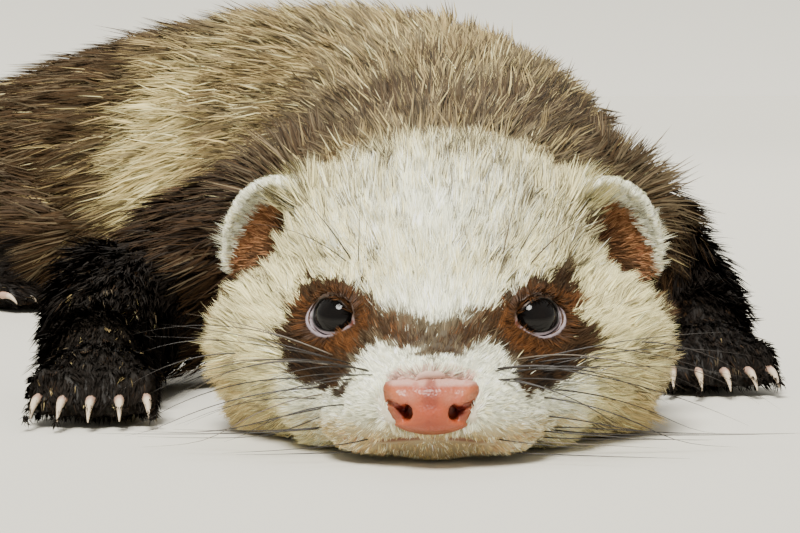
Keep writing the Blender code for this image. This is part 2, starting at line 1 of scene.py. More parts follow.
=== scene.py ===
"""A life-size ferret that lies with its chin on the floor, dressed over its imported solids.

One skin takes the place of the solids of flesh, a little inside them, and the coat grows from it in
blades that follow its lie. The eyes, lids, nose, claws and whiskers are pieces of their own.
Lengths are in metres unless a comment says millimetres. The head's own frame has X to the animal's
left, Y back from the tip of the nose and Z up from the floor.
"""

import math

import bpy
import numpy as np
from mathutils import Matrix, Vector
from mathutils.bvhtree import BVHTree


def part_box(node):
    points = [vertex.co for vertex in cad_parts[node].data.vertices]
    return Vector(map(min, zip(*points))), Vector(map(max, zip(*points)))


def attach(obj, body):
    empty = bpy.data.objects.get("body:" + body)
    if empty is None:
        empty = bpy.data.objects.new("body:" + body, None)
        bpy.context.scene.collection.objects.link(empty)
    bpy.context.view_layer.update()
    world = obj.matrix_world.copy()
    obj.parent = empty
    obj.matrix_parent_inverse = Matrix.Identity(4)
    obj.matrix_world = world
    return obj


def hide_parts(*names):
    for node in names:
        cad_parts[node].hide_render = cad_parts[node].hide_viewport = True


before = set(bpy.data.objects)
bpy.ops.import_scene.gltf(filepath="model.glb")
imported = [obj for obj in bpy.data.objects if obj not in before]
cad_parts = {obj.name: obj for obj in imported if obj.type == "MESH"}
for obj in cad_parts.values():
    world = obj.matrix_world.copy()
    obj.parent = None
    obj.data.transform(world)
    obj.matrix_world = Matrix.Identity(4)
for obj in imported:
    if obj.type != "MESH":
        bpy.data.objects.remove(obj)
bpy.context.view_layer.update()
draw = np.random.default_rng(27)

MM = 0.001
BODY = "root"
FLOOR_CLEARANCE = 0.0003
DOUBLES = 0.000002  # corners of a solid that are closer than this are one
SIDES = {"left": 1, "right": -1}

# The line of the body in plan from neck to tail, from the floor point below the nose
BODY_LINE = np.array((
    (0.0000, -0.0200), (0.0029, 0.0700), (0.0048, 0.1060), (0.0052, 0.1350), (0.0040, 0.1670),
    (-0.0060, 0.2090), (-0.0300, 0.2500), (-0.0620, 0.2810), (-0.0980, 0.2960), (-0.1260, 0.3000),
    (-0.1440, 0.2995), (-0.1660, 0.2950), (-0.1920, 0.2850), (-0.2150, 0.2700), (-0.2330, 0.2500),
    (-0.2440, 0.2290),
))
FORELEGS = {
    "right": ((-0.0210, 0.1080), (-0.0500, 0.0940), (-0.0510, 0.0680), (-0.0500, 0.0570)),
    "left": ((0.0280, 0.1150), (0.0435, 0.1300), (0.0470, 0.1070), (0.0475, 0.0960)),
}
RUMP = Vector((-0.0980, 0.2960, 0))
RUMP_FORWARD = Vector((0.0640, -0.0190, 0)).normalized()
# The hind leg from the middle of the rump: how far ahead and how far out are hip, knee, heel and palm
HIND_LEG = ((-0.004, 0.020), (0.028, 0.0300), (-0.008, 0.0375), (0.014, 0.0395))
HIND_SIDES = {"right": 1, "left": -1}  # which way is out, seen along the rump
LEG_PARTS = ("upper_arm", "forearm", "fore_paw", "thigh", "shank", "hind_foot")
FLESH = (
    "head", "ear_left", "ear_right", "neck", "chest", "loin", "rump", "tail_base", "tail_end",
    *(part + "_" + side for part in LEG_PARTS for side in SIDES),
)
FINE_KINDS = ("ear", "forearm", "fore_paw", "hind_foot")  # kept closest to their solids

# The mouth's line: the middle that it turns round, how many degrees it spans on each side, and its
# heights in millimetres from the front to its corner
MOUTH_MIDDLE = 0.018
MOUTH_SPREAD = 80
MOUTH_LEVELS = (3.9, 3.7, 3.5, 3.4, 3.5, 3.8, 4.2, 4.8, 5.6, 6.6)

# The eyes, on the animal's left
HEAD_YAW = math.radians(2.4)
EYE_PLACE = Vector((0.0130, 0.0238, 0.0178))
EYE_AXIS = Vector((0.50, -0.80, 0.34)).normalized()
EYE_SLIT = (-1, -0.35, -0.40)  # the way from its middle to the corner by the nose
EYE_RADIUS = 0.0039
EYE_BULGE = 0.045
LID_OPENING = (0.0032, 0.0021, 0.0024)  # outwards, up and down from its middle
LID_CORNER = 0.0046
# The section of a lid, from the eyeball outwards and back below the skin: how far it is from the
# opening's edge, and how high it stands over the eyeball and over the skin, in millimetres
LID_SECTION = np.array((
    (0.00, -0.50, -0.60), (-0.05, 0.02, -0.10), (0.03, 0.14, 0.02), (0.10, 0.24, 0.08),
    (0.25, 0.36, 0.14), (0.48, 0.47, 0.18), (0.72, 0.50, 0.18), (0.95, 0.46, 0.12),
    (1.15, 0.36, 0.02), (1.35, 0.20, -0.12), (1.60, 0.00, -0.35), (1.90, -0.30, -0.70),
    (2.40, -0.80, -1.20), (2.40, -1.60, -2.00), (1.60, -1.60, -2.00), (1.00, -1.30, -1.60),
    (0.40, -0.90, -1.00),
))
LID_TURNS = 120

# The ears, on the animal's left: their middle, the way down to the root and the way that the cup faces
EAR_CENTRE = (0.0252, 0.0530, 0.0275)
EAR_DOWN, EAR_FACING = (0.33, 0.14, -0.93), (0.42, -0.90, 0.10)
EAR_ROOT = (0.0190, 0.0540, 0.0250)
EAR_CUP = (8.8, 5.2)  # half its height and width in millimetres
EAR_CUP_AT = (2.2, 0.6)  # how far its middle lies down and out from the ear's

# The nose's pad: half its width at heights over the floor, and its nostrils, in millimetres
NOSE_LEVELS = (4.6, 5.1, 6.2, 7.5, 9.1, 10.6, 11.6, 12.3)
NOSE_WIDTHS = (3.4, 4.1, 4.7, 5.15, 5.6, 5.85, 5.6, 5.0)
NOSE_MIDDLE_LEVEL = 8.3
NOSTRIL = (3.5, 7.9)
NOSTRIL_SLIT = ((3.8, 8.2), (4.6, 8.75), (5.4, 9.0))
NOSE_STREAK = ((0.0, 11.4), (0.3, 9.2))
NOSE_TOP = ((0.0, 12.2), (4.4, 12.0))
NOSE_CELL = 0.00015
NOSE_REACH = 9.0  # how far from it anything depends on it

# Claws and whiskers
FORE_PALM = (0.0084, 0.0088)  # half its width and length
HIND_PALM = (0.0100, 0.0078)
FORE_CLAW, HIND_CLAW = 0.0070, 0.0052
FORE_TURN_OUT = {"right": math.radians(-3), "left": math.radians(2)}
HIND_TURN_OUT = math.radians(-6)
CLAW_RADIUS, CLAW_STEPS, CLAW_LEVEL = 0.00085, 9, 0.0040
WHISKER_LEVELS = (0.0118, 0.0098, 0.0079, 0.0061)
WHISKER_STEPS = 14
WHISKER_RADII = (0.085, 0.130)  # millimetres
PALE_WHISKERS = 0.05

# The coat. For each kind of solid: its depth over the skin, how long its hairs are, how steeply they
# stand and how wide a blade is, in millimetres and degrees, and how closely the blades are set
COAT = {
    "head": (3.8, 7.5, 30, 0.18, 15.0),
    "ear": (0.6, 1.7, 24, 0.12, 24.0),
    "neck": (6.6, 11.5, 29, 0.28, 5.0),
    "chest": (7.8, 13.0, 28, 0.31, 3.6),
    "loin": (8.0, 13.5, 27, 0.34, 2.8),
    "rump": (7.8, 13.5, 27, 0.34, 2.8),
    "tail_base": (5.2, 15.0, 26, 0.34, 3.6),
    "tail_end": (3.8, 15.0, 22, 0.33, 4.2),
    "upper_arm": (5.6, 10.0, 28, 0.30, 4.2),
    "forearm": (3.4, 7.5, 26, 0.28, 5.5),
    "fore_paw": (0.9, 2.8, 22, 0.18, 12.0),
    "thigh": (5.8, 11.5, 27, 0.32, 3.2),
    "shank": (3.2, 7.5, 25, 0.28, 5.0),
    "hind_foot": (0.9, 2.8, 22, 0.18, 11.0),
}
COAT_PIECES = (  # where it grows, hairs, the size of a tuft, slot
    ("muzzle_left", 37000, 0.0006, "coat_cream"),
    ("muzzle_right", 37000, 0.0006, "coat_cream"),
    ("crown", 58000, 0.0009, "coat_cream"),
    ("cheek_left", 42000, 0.0010, "coat_cream"),
    ("cheek_right", 42000, 0.0010, "coat_cream"),
    ("ears", 32000, 0.0007, "coat_cream"),
    ("neck", 30000, 0.0016, "coat_cream"),
    ("chest", 44000, 0.0018, "coat_grey_brown"),
    ("loin", 52000, 0.0020, "coat_grey_brown"),
    ("rump", 36000, 0.0020, "coat_brown"),
    ("tail", 26000, 0.0018, "coat_black"),
    ("forelegs", 36000, 0.0013, "coat_black"),
    ("hind_legs", 20000, 0.0014, "coat_black"),
)
SKIN_CELL = 0.0009
SKIN_SWELL = 0.00028  # closes the gaps between the solids
# the skin takes the coat's colours darkened by this share, as painted shade under the fur
SKIN_SHADE = 0.62
FACE_REACH = 0.046  # how far back from the nose the skin keeps all its detail
MUZZLE_REACH, CROWN_LEVEL = 0.027, 0.026
HAIR_PARTS_FROM = (0.0, -0.014, 0.0085)  # the hair of the head runs away from this point
HAIR_SPREAD = (0.75, 1.2)  # the shortest and longest hairs, as shares of the coat's own length
GATHER = 0.48  # how far the tips of a tuft close up
SHARED_CHANCE = 0.34  # how many of a tuft's hairs draw their pigment together
HAIR_SUNK = 0.00025
BAKE_PATCH = 0.003
SPINE_LEVEL = 0.02  # the body's flat map is wound round a line at this height

# Soft places on the head, each with its middle and radii
FOREHEAD = ((0.0, 0.0350, 0.0330), (0.0170, 0.0230, 0.0140))
DEEP_CHEEK = ((0.0320, 0.0450, 0.0100), (0.0120, 0.0180, 0.0100))
LONG_CHEEK = ((0.0320, 0.0450, 0.0120), (0.0140, 0.0200, 0.0120))
BEHIND_EAR = ((0.0260, 0.0610, 0.0290), (0.0110, 0.0120, 0.0120))
ROUND_EYE = ((0.0143, 0.0220, 0.0190), (0.0060, 0.0070, 0.0055))
ABOVE_NOSE = ((0.0, 0.0040, 0.0130), (0.0060, 0.0045, 0.0024))

# Linear colours of the hair, and those of skin, claws and whiskers
PIGMENTS = {
    "white": (0.90, 0.905, 0.70),
    "cream": (0.77, 0.690, 0.365),
    "straw": (0.54, 0.40, 0.170),
    "beige": (0.33, 0.240, 0.105),
    "sand": (0.48, 0.380, 0.165),
    "chestnut": (0.110, 0.042, 0.013),
    "grey_brown": (0.110, 0.082, 0.047),
    "dark_brown": (0.040, 0.0205, 0.0088),
    "black_brown": (0.0085, 0.0060, 0.0045),
    "pink": (0.56, 0.33, 0.265),
    "ear_tan": (0.38, 0.180, 0.082),
    "ear_skin": (0.31, 0.108, 0.046),
    "lip": (0.20, 0.075, 0.050),
}
PIGMENT_NAMES = list(PIGMENTS)
PALETTE = np.array(list(PIGMENTS.values()))
PALE_COUNT = 2  # the pale pigments come first
DARK = ("chestnut", "grey_brown", "dark_brown", "black_brown")
TINTS = PIGMENTS | {
    "pad": (0.325, 0.066, 0.022),
    "pad_middle": (0.30, 0.045, 0.016),
    "pad_wing": (0.40, 0.125, 0.052),
    "pad_streak": (0.19, 0.030, 0.013),
    # painted highlight on the pad
    "pad_highlight": (0.50, 0.20, 0.13),
    "pad_blotch": (0.34, 0.062, 0.030),
    "pad_edge": (0.20, 0.068, 0.028),
    # painted shade in the nostrils and their slits, darker further in
    "nostril_shade": (0.115, 0.011, 0.007),
    "nostril_deep_shade": (0.05, 0.005, 0.004),
    "lid_low": (0.235, 0.185, 0.20),
    "lid_high": (0.070, 0.042, 0.028),
    "lid_corner": (0.11, 0.032, 0.024),
    "lid_edge": (0.008, 0.006, 0.005),
    "lid_outside": (0.030, 0.014, 0.008),
    # painted shade in the eye socket round the eyeball
    "socket": (0.010, 0.006, 0.005),
    "claw": (0.56, 0.45, 0.33),
    "claw_root": (0.42, 0.27, 0.20),
    "whisker": (0.016, 0.011, 0.008),
    "whisker_pale": (0.10, 0.075, 0.050),
}

# The face seen straight from the front: how far away the eye that sees it is, and how high
FACE_DISTANCE, FACE_HEIGHT = 0.335, 0.0498
# Strokes of colour on each half of the face, in millimetres from its middle line and the floor:
# pigment, strength, half width, and the points that the stroke runs through
FACE_STROKES = (
    ("grey_brown", 0.74, 2.5, ((9.6, 19.6), (6.6, 19.0), (3.4, 18.0), (0.0, 17.5))),
    ("grey_brown", 0.62, 1.8, ((11.2, 14.8), (9.4, 17.0), (8.6, 19.6))),
    ("chestnut", 0.40, 1.8, ((9.2, 20.4), (7.0, 19.0), (4.0, 18.0))),
    ("dark_brown", 0.55, 1.1, ((9.2, 20.6), (7.2, 19.2), (4.6, 17.9), (2.2, 17.1), (0.0, 17.0))),
    ("dark_brown", 0.62, 1.5, ((9.9, 23.0), (9.2, 20.6), (9.0, 18.2), (9.6, 16.2))),
    ("dark_brown", 0.40, 0.9, ((10.2, 24.2), (9.0, 26.2), (7.8, 28.2))),
    ("grey_brown", 0.34, 0.8, ((0.0, 17.4), (0.2, 14.2))),
    ("chestnut", 0.90, 1.3, ((17.1, 23.0), (17.6, 21.2), (17.3, 18.9), (16.1, 16.9), (14.2, 15.9),
                             (12.0, 16.0), (10.4, 17.2), (9.8, 19.2))),
    ("chestnut", 0.85, 1.0, ((16.8, 23.0), (15.4, 24.1), (13.2, 24.3), (11.4, 23.4), (10.2, 21.8))),
    ("dark_brown", 0.88, 2.2, ((18.2, 17.4), (17.4, 15.2), (15.6, 13.4), (12.9, 12.5))),
    ("black_brown", 0.55, 1.2, ((17.7, 15.8), (16.2, 13.8), (13.8, 12.4))),
    ("dark_brown", 0.66, 0.9, ((18.6, 20.6), (18.2, 18.0), (16.6, 15.8), (14.2, 14.8), (11.6, 15.0))),
    ("dark_brown", 0.94, 0.75, ((17.4, 23.6), (16.0, 24.9), (13.6, 25.3), (11.6, 24.6), (10.5, 23.2))),
    ("dark_brown", 0.34, 1.0, ((15.6, 25.4), (18.4, 28.8))),
    ("white", 0.62, 0.7, ((10.9, 24.0), (10.6, 22.9))),
)
STROKE_JITTER = 0.60
# The front edge of an ear's cup and the notch below it that takes painted shade, along its root and outwards,
# in millimetres
EAR_EDGE = ((-6.0, -3.0), (-3.0, -4.9), (2.0, -5.4), (7.0, -4.8), (11.0, -3.0))
EAR_NOTCH = ((7.0, -1.8), (11.5, -3.0))
LEG_COLOURS = (
    ("upper_arm", "dark_brown", 0.66), ("upper_arm", "black_brown", 0.24),
    ("forearm", "black_brown", 0.94), ("fore_paw", "black_brown", 0.95),
    ("thigh", "dark_brown", 0.9), ("shank", "black_brown", 0.9), ("hind_foot", "black_brown", 0.95),
)
FLANK_MIDDLE, FLANK_RADII = (-0.060, 0.226, 0.036), (0.019, 0.021, 0.026)

# The stage and the camera
FLOOR_SIZE = 40
FLOOR_COLOUR = (0.66, 0.635, 0.56, 1)
SKY_FOOT, SKY_TOP = (1.65, 1.57, 1.32), (0.50, 0.49, 0.46)
SKY_TOP_FROM = 0.22
LAMPS = (  # name, kind, place, size, power, colour
    ("key", "SUN", (-0.18, -0.55, 1.10), 0.42, 7.4, (1.0, 0.985, 0.92)),
    ("back", "AREA", (0.1, 1.1, 1.2), 1.0, 6.0, (1.0, 0.98, 0.92)),
)
LAMP_TARGET = (0, 0.05, 0.02)
CAMERA_LENS, CAMERA_ASIDE, CAMERA_DIP = 117, 0.0041, 3.89


# Places on the model

def mirrored(vector, side):
    return Vector((vector[0] * side, vector[1], vector[2]))


def middle_of(node):
    low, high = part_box(node)
    return (low + high) / 2


# The origin of the head's frame is the floor point below the nose's tip, found from the two eyes
HEAD_TURN = Matrix.Rotation(-HEAD_YAW, 3, "Z")
between_eyes = (middle_of("eye_left") + middle_of("eye_right")) / 2
ORIGIN = between_eyes - HEAD_TURN @ Vector((0, EYE_PLACE.y, EYE_PLACE.z))


def to_head(points):
    """Points of the model in the head's own frame."""
    return (points - np.array(ORIGIN)) @ np.array(HEAD_TURN)


def from_head(points):
    return np.array(points) @ np.array(HEAD_TURN).T + np.array(ORIGIN)


def head_point(point):
    return ORIGIN + HEAD_TURN @ Vector(point)


def both_sides(points):
    """Head points folded on to the animal's left side."""
    folded = points.copy()
    folded[:, 0] = np.abs(folded[:, 0])
    return folded


def kind_of(node):
    """A node's name without its side."""
    for side in SIDES:
        node = node.removesuffix("_" + side)
    return node


def belonging(owners, *nodes):
    """Which of the owners, given by their numbers in FLESH, are these nodes."""
    return np.isin(owners, [FLESH.index(node) for node in nodes])


# Soft values

def unit(vectors):
    lengths = np.linalg.norm(vectors, axis=-1, keepdims=True)
    return vectors / np.maximum(lengths, 1e-12)


def smooth_step(low, high, values):
    share = np.clip((values - low) / (high - low), 0, 1)
    return share * share * (3 - 2 * share)


def bell(values, width):
    """1 where the values are 0, falling softly to about a third at the width."""
    return np.exp(-((values / width) ** 2))


def spot(places, centre, radii):
    """1 in the middle of an ellipse that is seen from the front, falling softly to its edge."""
    return np.exp(-((places[:, 0] - centre[0]) / radii[0]) ** 2
                  - ((places[:, 2] - centre[1]) / radii[1]) ** 2)


def blob(points, centre, radii):
    """1 in the middle of an ellipsoid, falling softly to about a third at its surface."""
    away = (points - np.array(centre)) / np.array(radii)
    return np.exp(-np.sum(away * away, axis=1))


def ripple(points, size, seed):
    """A smooth random value between about -1 and 1 that changes over a distance of size."""
    dice = np.random.default_rng(seed)
    total = np.zeros(len(points))
    waves = 16
    for _ in range(waves):
        direction = unit(dice.normal(size=3)) * (2 * np.pi / size) * dice.uniform(0.5, 1.6)
        total += np.sin(points @ direction + dice.uniform(0, 2 * np.pi))
    return total / (1.2 * math.sqrt(waves))


def near_stroke(places, line, half_width):
    """1 along the stroke, falling softly to nothing past its half width."""
    best = np.full(len(places), np.inf)
    for first, last in zip(line, line[1:]):
        first, last = np.array(first), np.array(last)
        way = last - first
        share = np.clip((places - first) @ way / (way @ way), 0, 1)
        best = np.minimum(best, np.linalg.norm(places - first - share[:, None] * way, axis=1))
    return smooth_step(1.45 * half_width, 0.55 * half_width, best)


def mouth_offset(head):
    """How far above the mouth's line each head point is, in millimetres; large past its corners."""
    turn = np.degrees(np.arctan2(np.abs(head[:, 0]), MOUTH_MIDDLE - head[:, 1]))
    level = np.interp(turn, np.linspace(0, MOUTH_SPREAD, len(MOUTH_LEVELS)), MOUTH_LEVELS)
    past = np.clip(turn - MOUTH_SPREAD, 0, None) * 0.3
    return np.hypot(head[:, 2] / MM - level, past)


# Objects and meshes

def deselect():
    if bpy.context.object and bpy.context.object.mode != "OBJECT":
        bpy.ops.object.mode_set(mode="OBJECT")
    bpy.ops.object.select_all(action="DESELECT")


def activate(thing):
    deselect()
    thing.select_set(True)
    bpy.context.view_layer.objects.active = thing


def new_object(name, data):
    made = bpy.data.objects.new(name, data)
    bpy.context.scene.collection.objects.link(made)
    return made


def add_modifier(thing, kind, **settings):
    """Adds a modifier with its settings and applies it."""
    activate(thing)
    modifier = thing.modifiers.new(kind.lower(), kind)
    for key, value in settings.items():
        setattr(modifier, key, value)
    bpy.ops.object.modifier_apply(modifier=modifier.name)


def edit_all(operator, **settings):
    """Runs an edit-mode operator on the whole of the active mesh."""
    bpy.ops.object.mode_set(mode="EDIT")
    bpy.ops.mesh.select_all(action="SELECT")
    operator(**settings)
    bpy.ops.object.mode_set(mode="OBJECT")


def face_outwards(thing):
    activate(thing)
    edit_all(bpy.ops.mesh.normals_make_consistent, inside=False)
    bpy.ops.object.shade_smooth()


def vectors_of(mesh, field):
    values = np.empty(len(mesh.vertices) * 3, np.float32)
    mesh.vertices.foreach_get(field, values)
    return values.reshape(-1, 3).astype(float)


def coordinates(mesh):
    return vectors_of(mesh, "co")


def normals(mesh):
    return vectors_of(mesh, "normal")


def set_coordinates(mesh, points):
    mesh.vertices.foreach_set("co", points.astype(np.float32).ravel())
    mesh.update()


def edges_of(mesh):
    values = np.empty(len(mesh.edges) * 2, np.int32)
    mesh.edges.foreach_get("vertices", values)
    return values.reshape(-1, 2)


def spread(field, edges, passes):
    """Softens a field over the mesh, by taking each vertex towards its neighbours."""
    flat = field.reshape(len(field), -1)
    first, second = edges.T
    count = np.bincount(edges.ravel(), minlength=len(field)).astype(float)
    for _ in range(passes):
        columns = []
        for column in flat.T:
            total = np.bincount(first, column[second], len(field))
            total += np.bincount(second, column[first], len(field))
            columns.append(total / np.maximum(count, 1))
        flat = 0.5 * flat + 0.5 * np.stack(columns, axis=1)
    return flat.reshape(field.shape)


def tree_of(*nodes):
    """The faces of some nodes, for finding the nearest point on them, and the number of each one's node."""
    vertices, faces, owners = [], [], []
    for number, name in enumerate(nodes):
        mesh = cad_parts[name].data
        start = len(vertices)
        vertices.extend(vertex.co.copy() for vertex in mesh.vertices)
        mesh.calc_loop_triangles()
        for triangle in mesh.loop_triangles:
            faces.append([start + index for index in triangle.vertices])
            owners.append(number)
    return BVHTree.FromPolygons(vertices, faces), owners


def tree_of_piece(thing):
    return BVHTree.FromObject(thing, bpy.context.evaluated_depsgraph_get())


FLESH_TREE, FLESH_OWNERS = tree_of(*FLESH)
NOSE_TREE = tree_of("nose")[0]


def from_nose(head):
    """How far each head point is from the nose's solid, in millimetres, up to NOSE_REACH."""
    found = np.full(len(head), NOSE_REACH)
    for index in np.flatnonzero(head[:, 1] < 0.014):
        point = head_point(head[index])
        found[index] = min(NOSE_REACH, NOSE_TREE.find_nearest(point)[3] / MM)
    return found


# Materials

def new_material(name, roughness, **settings):
    made = bpy.data.materials.new(name)
    made.use_nodes = True
    shader = made.node_tree.nodes["Principled BSDF"]
    shader.inputs["Roughness"].default_value = roughness
    for key, value in settings.items():
        shader.inputs[key.replace("_", " ")].default_value = value
    return made, made.node_tree, shader


def new_pattern(tree, kind, scale):
    """A procedural pattern in the object's own space."""
    place = tree.nodes.new("ShaderNodeTexCoord")
    pattern = tree.nodes.new("ShaderNodeTex" + kind)
    pattern.inputs["Scale"].default_value = scale
    tree.links.new(place.outputs["Object"], pattern.inputs["Vector"])
    return pattern


def add_relief(tree, shader, kind, scale, strength, distance):
    """A fine relief on the surface: grain from noise, or pebbles from cells."""
    pattern = new_pattern(tree, kind, scale)
    if kind == "Noise":
        pattern.inputs["Detail"].default_value = 4
    bump = tree.nodes.new("ShaderNodeBump")
    bump.inputs["Strength"].default_value = strength
    bump.inputs["Distance"].default_value = distance
    tree.links.new(pattern.outputs["Fac" if kind == "Noise" else "Distance"], bump.inputs["Height"])
    tree.links.new(bump.outputs["Normal"], shader.inputs["Normal"])


def marked_material(name, roughness, relief=None, **settings):
    """A material whose colour is the one that is laid on the mesh."""
    made, tree, shader = new_material(name, roughness, **settings)
    colour = tree.nodes.new("ShaderNodeAttribute")
    colour.attribute_name = "markings"
    tree.links.new(colour.outputs["Color"], shader.inputs["Base Color"])
    if relief:
        add_relief(tree, shader, *relief)
    return made


def eye_material():
    made, tree, shader = new_material("wet_eye", 0.03, IOR=1.42, Specular_IOR_Level=0.27)
    noise = new_pattern(tree, "Noise", 700)
    shades = tree.nodes.new("ShaderNodeValToRGB")
    shades.color_ramp.elements[0].color = (0.0020, 0.0020, 0.0022, 1)
    shades.color_ramp.elements[1].color = (0.0060, 0.0042, 0.0034, 1)
    tree.links.new(noise.outputs["Fac"], shades.inputs["Fac"])
    tree.links.new(shades.outputs["Color"], shader.inputs["Base Color"])
    return made


EYE = eye_material()
FUR = marked_material("fur", 0.62, Specular_IOR_Level=0.09)
SKIN = marked_material("skin", 0.6, ("Noise", 900, 0.35, 0.0003), Specular_IOR_Level=0.3)
LID = marked_material("lid_skin", 0.42, ("Noise", 2200, 0.3, 0.0002), Specular_IOR_Level=0.35)
NOSE = marked_material(
    "nose_skin", 0.42, ("Voronoi", 2600, 0.45, 0.00012), Specular_IOR_Level=0.5,
    Subsurface_Weight=0.12, Subsurface_Radius=(0.9, 0.35, 0.25), Subsurface_Scale=0.0012,
)
CLAW = marked_material("claw_horn", 0.35, ("Noise", 1500, 0.15, 0.0002))
WHISKER = marked_material("whisker", 0.4)


def mix(first, second, share):
    share = np.clip(share, 0, 1)[:, None]
    return first * (1 - share) + second * share


def tinted(colours, *layers):
    """Lays tints over the colours, each as strongly as is given at each point."""
    for name, share in layers:
        colours = mix(colours, np.array(TINTS[name]), share)
    return colours


def all_of(count, tint):
    return np.tile(np.array(TINTS[tint], float), (count, 1))


def paint(thing, colours, material):
    """Lays one colour on each vertex and gives the piece its material."""
    layer = thing.data.color_attributes.new("markings", "FLOAT_COLOR", "POINT")
    values = np.ones((len(colours), 4), np.float32)
    values[:, :3] = colours
    layer.data.foreach_set("color", values.ravel())
    thing.data.materials.clear()
    thing.data.materials.append(material)


def finish_piece(thing, slot, *nodes):
    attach(thing, BODY)
    if nodes:
        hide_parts(*nodes)


# Where the eyes and the ears are

def eye_axes(side):
    """The middle of an eyeball, and its axes: along the slit to the nose, up, and out of the head."""
    outward = np.array((HEAD_TURN @ mirrored(EYE_AXIS, side)).normalized())
    inward = np.array(HEAD_TURN @ mirrored(EYE_SLIT, side))
    along = unit(inward - outward * (inward @ outward))
    up = np.cross(outward, along) * -side
    return np.array(head_point(mirrored(EYE_PLACE, side))), np.stack((along, up, outward))


def eye_places(points, side):
    centre, axes = eye_axes(side)
    return (points - centre) @ axes.T


def opening(angle):
    """The edge of the eye's opening, pointed at the corner towards the nose."""
    half_length, up, down = LID_OPENING
    x, y = np.cos(angle), np.sin(angle)
    half_height = np.where(y > 0, up, down)
    wide = np.where(x > 0, x * LID_CORNER, x * half_length)
    high = np.where(x > 0, y * half_height * (1 - 0.62 * x * x), y * half_height)
    return wide, high


def beyond_lid(places):
    """How far points lie outside the eye's opening, seen along its axis, in millimetres."""
    x, y = opening(np.linspace(-np.pi, np.pi, 181))
    turn = np.arctan2(places[:, 1], places[:, 0])
    edge = np.interp(turn, np.arctan2(y, x)[1:-1], np.hypot(x, y)[1:-1])
    return (np.hypot(places[:, 0], places[:, 1]) - edge) / MM


def ear_places(points, side):
    """Where points lie in an ear: down to its root, out from the head and forwards, in millimetres."""
    down = mirrored(EAR_DOWN, side).normalized()
    facing = mirrored(EAR_FACING, side)
    facing = (facing - down * facing.dot(down)).normalized()
    outward = down.cross(facing).normalized()
    if outward.x * side < 0:
        outward = -outward
    return (to_head(points) - np.array(mirrored(EAR_CENTRE, side))) @ np.array((down, outward, facing)).T / MM


def from_cup(places):
    """How far places in an ear are from the middle of its cup; 1 is the cup's edge."""
    return np.linalg.norm((places[:, :2] - EAR_CUP_AT) / EAR_CUP, axis=1)


def ear_inside(points, side):
    """1 in the cup of an ear, 0 on its rim and back; how near its inner front edge, and from_cup."""
    places = ear_places(points, side)
    out = from_cup(places)
    high, wide = ((places[:, :2] - EAR_CUP_AT) / EAR_CUP).T
    inside = smooth_step(1.06, 0.82, out) * smooth_step(-3.4, -2.6, places[:, 2])
    inside *= smooth_step(2.9, 1.4, places[:, 2])
    return inside, smooth_step(0.75, -0.15, wide - 0.40 * high), out


def nearest_nodes(points):
    """For each point, the number in FLESH of the solid that it lies nearest."""
    return np.array([FLESH_OWNERS[FLESH_TREE.find_nearest(Vector(point))[2]] for point in points])


def owners_of(points):
    """The solid that each point belongs to; the cup of an ear belongs to the ear throughout."""
    owners = nearest_nodes(points)
    for name, side in SIDES.items():
        places = ear_places(points, side)
        in_cup = (from_cup(places) < 1) & (np.abs(places[:, 2]) < 2.8)
        owners[in_cup & belonging(owners, "head")] = FLESH.index("ear_" + name)
    return owners


# Markings: each point has a share of every pigment, and each hair takes one of them

def shares_of(count, name):
    """Shares that are all of one pigment."""
    made = np.zeros((count, len(PIGMENT_NAMES)))
    made[:, PIGMENT_NAMES.index(name)] = 1
    return made


def lay(shares, *layers):
    """Lays pigments over the shares in turn, each as strongly as is given at each point."""
    for name, strength in layers:
        strength = np.clip(strength, 0, 1)[:, None]
        shares = shares * (1 - strength) + shares_of(len(shares), name) * strength
    return shares


def face_plane(head):
    """Head points as seen from the front: across and up, in millimetres at the nose."""
    nearness = FACE_DISTANCE / (FACE_DISTANCE + head[:, 1])
    up = FACE_HEIGHT + (head[:, 2] - FACE_HEIGHT) * nearness
    return np.stack((head[:, 0] * nearness, up), axis=1) / MM


def lay_face(shares, head, on_front):
    """The mask and the other strokes of the face, with ragged edges."""
    jitter = np.stack((ripple(head, 0.0032, 5), ripple(head, 0.0032, 6)), axis=1)
    places = both_sides(face_plane(head) + STROKE_JITTER * jitter)
    for name, strength, half_width, line in FACE_STROKES:
        shares = lay(shares, (name, strength * on_front * near_stroke(places, line, half_width)))
    return shares


def lay_round_eyes_and_ears(shares, points):
    """Brown close round the lids, dark fur at the front edge of each ear's cup, and painted shade in the
    notch below it.
    """
    for side in SIDES.values():
        eye = eye_places(points, side)
        close = smooth_step(3.4, 1.8, beyond_lid(eye)) * (eye[:, 2] > 0)
        ear = ear_places(points, side)
        edge = near_stroke(ear[:, :2], EAR_EDGE, 1.2) * smooth_step(-2.0, 0.0, ear[:, 2])
        # painted shade: chestnut and dark brown in the notch below each ear
        notch = near_stroke(ear[:, :2], EAR_NOTCH, 1.3) * smooth_step(-3.5, -1.5, ear[:, 2])
        shares = lay(
            shares, ("chestnut", 0.85 * close), ("dark_brown", 0.45 * close), ("dark_brown", 0.56 * edge),
            ("chestnut", 0.62 * notch), ("dark_brown", 0.38 * notch),
        )
    return shares


def sharpened(shares, back):
    """Clearer patches towards the front, and few pale hairs among the dark ones."""
    sharp = shares ** (1 + 0.55 * smooth_step(44, 30, back))[:, None]
    shares = sharp / sharp.sum(axis=1, keepdims=True)
    dark = shares[:, [PIGMENT_NAMES.index(name) for name in DARK]].sum(axis=1)
    shares[:, :PALE_COUNT] *= (1 - 0.85 * smooth_step(0.45, 0.75, dark))[:, None]
    return shares / shares.sum(axis=1, keepdims=True)


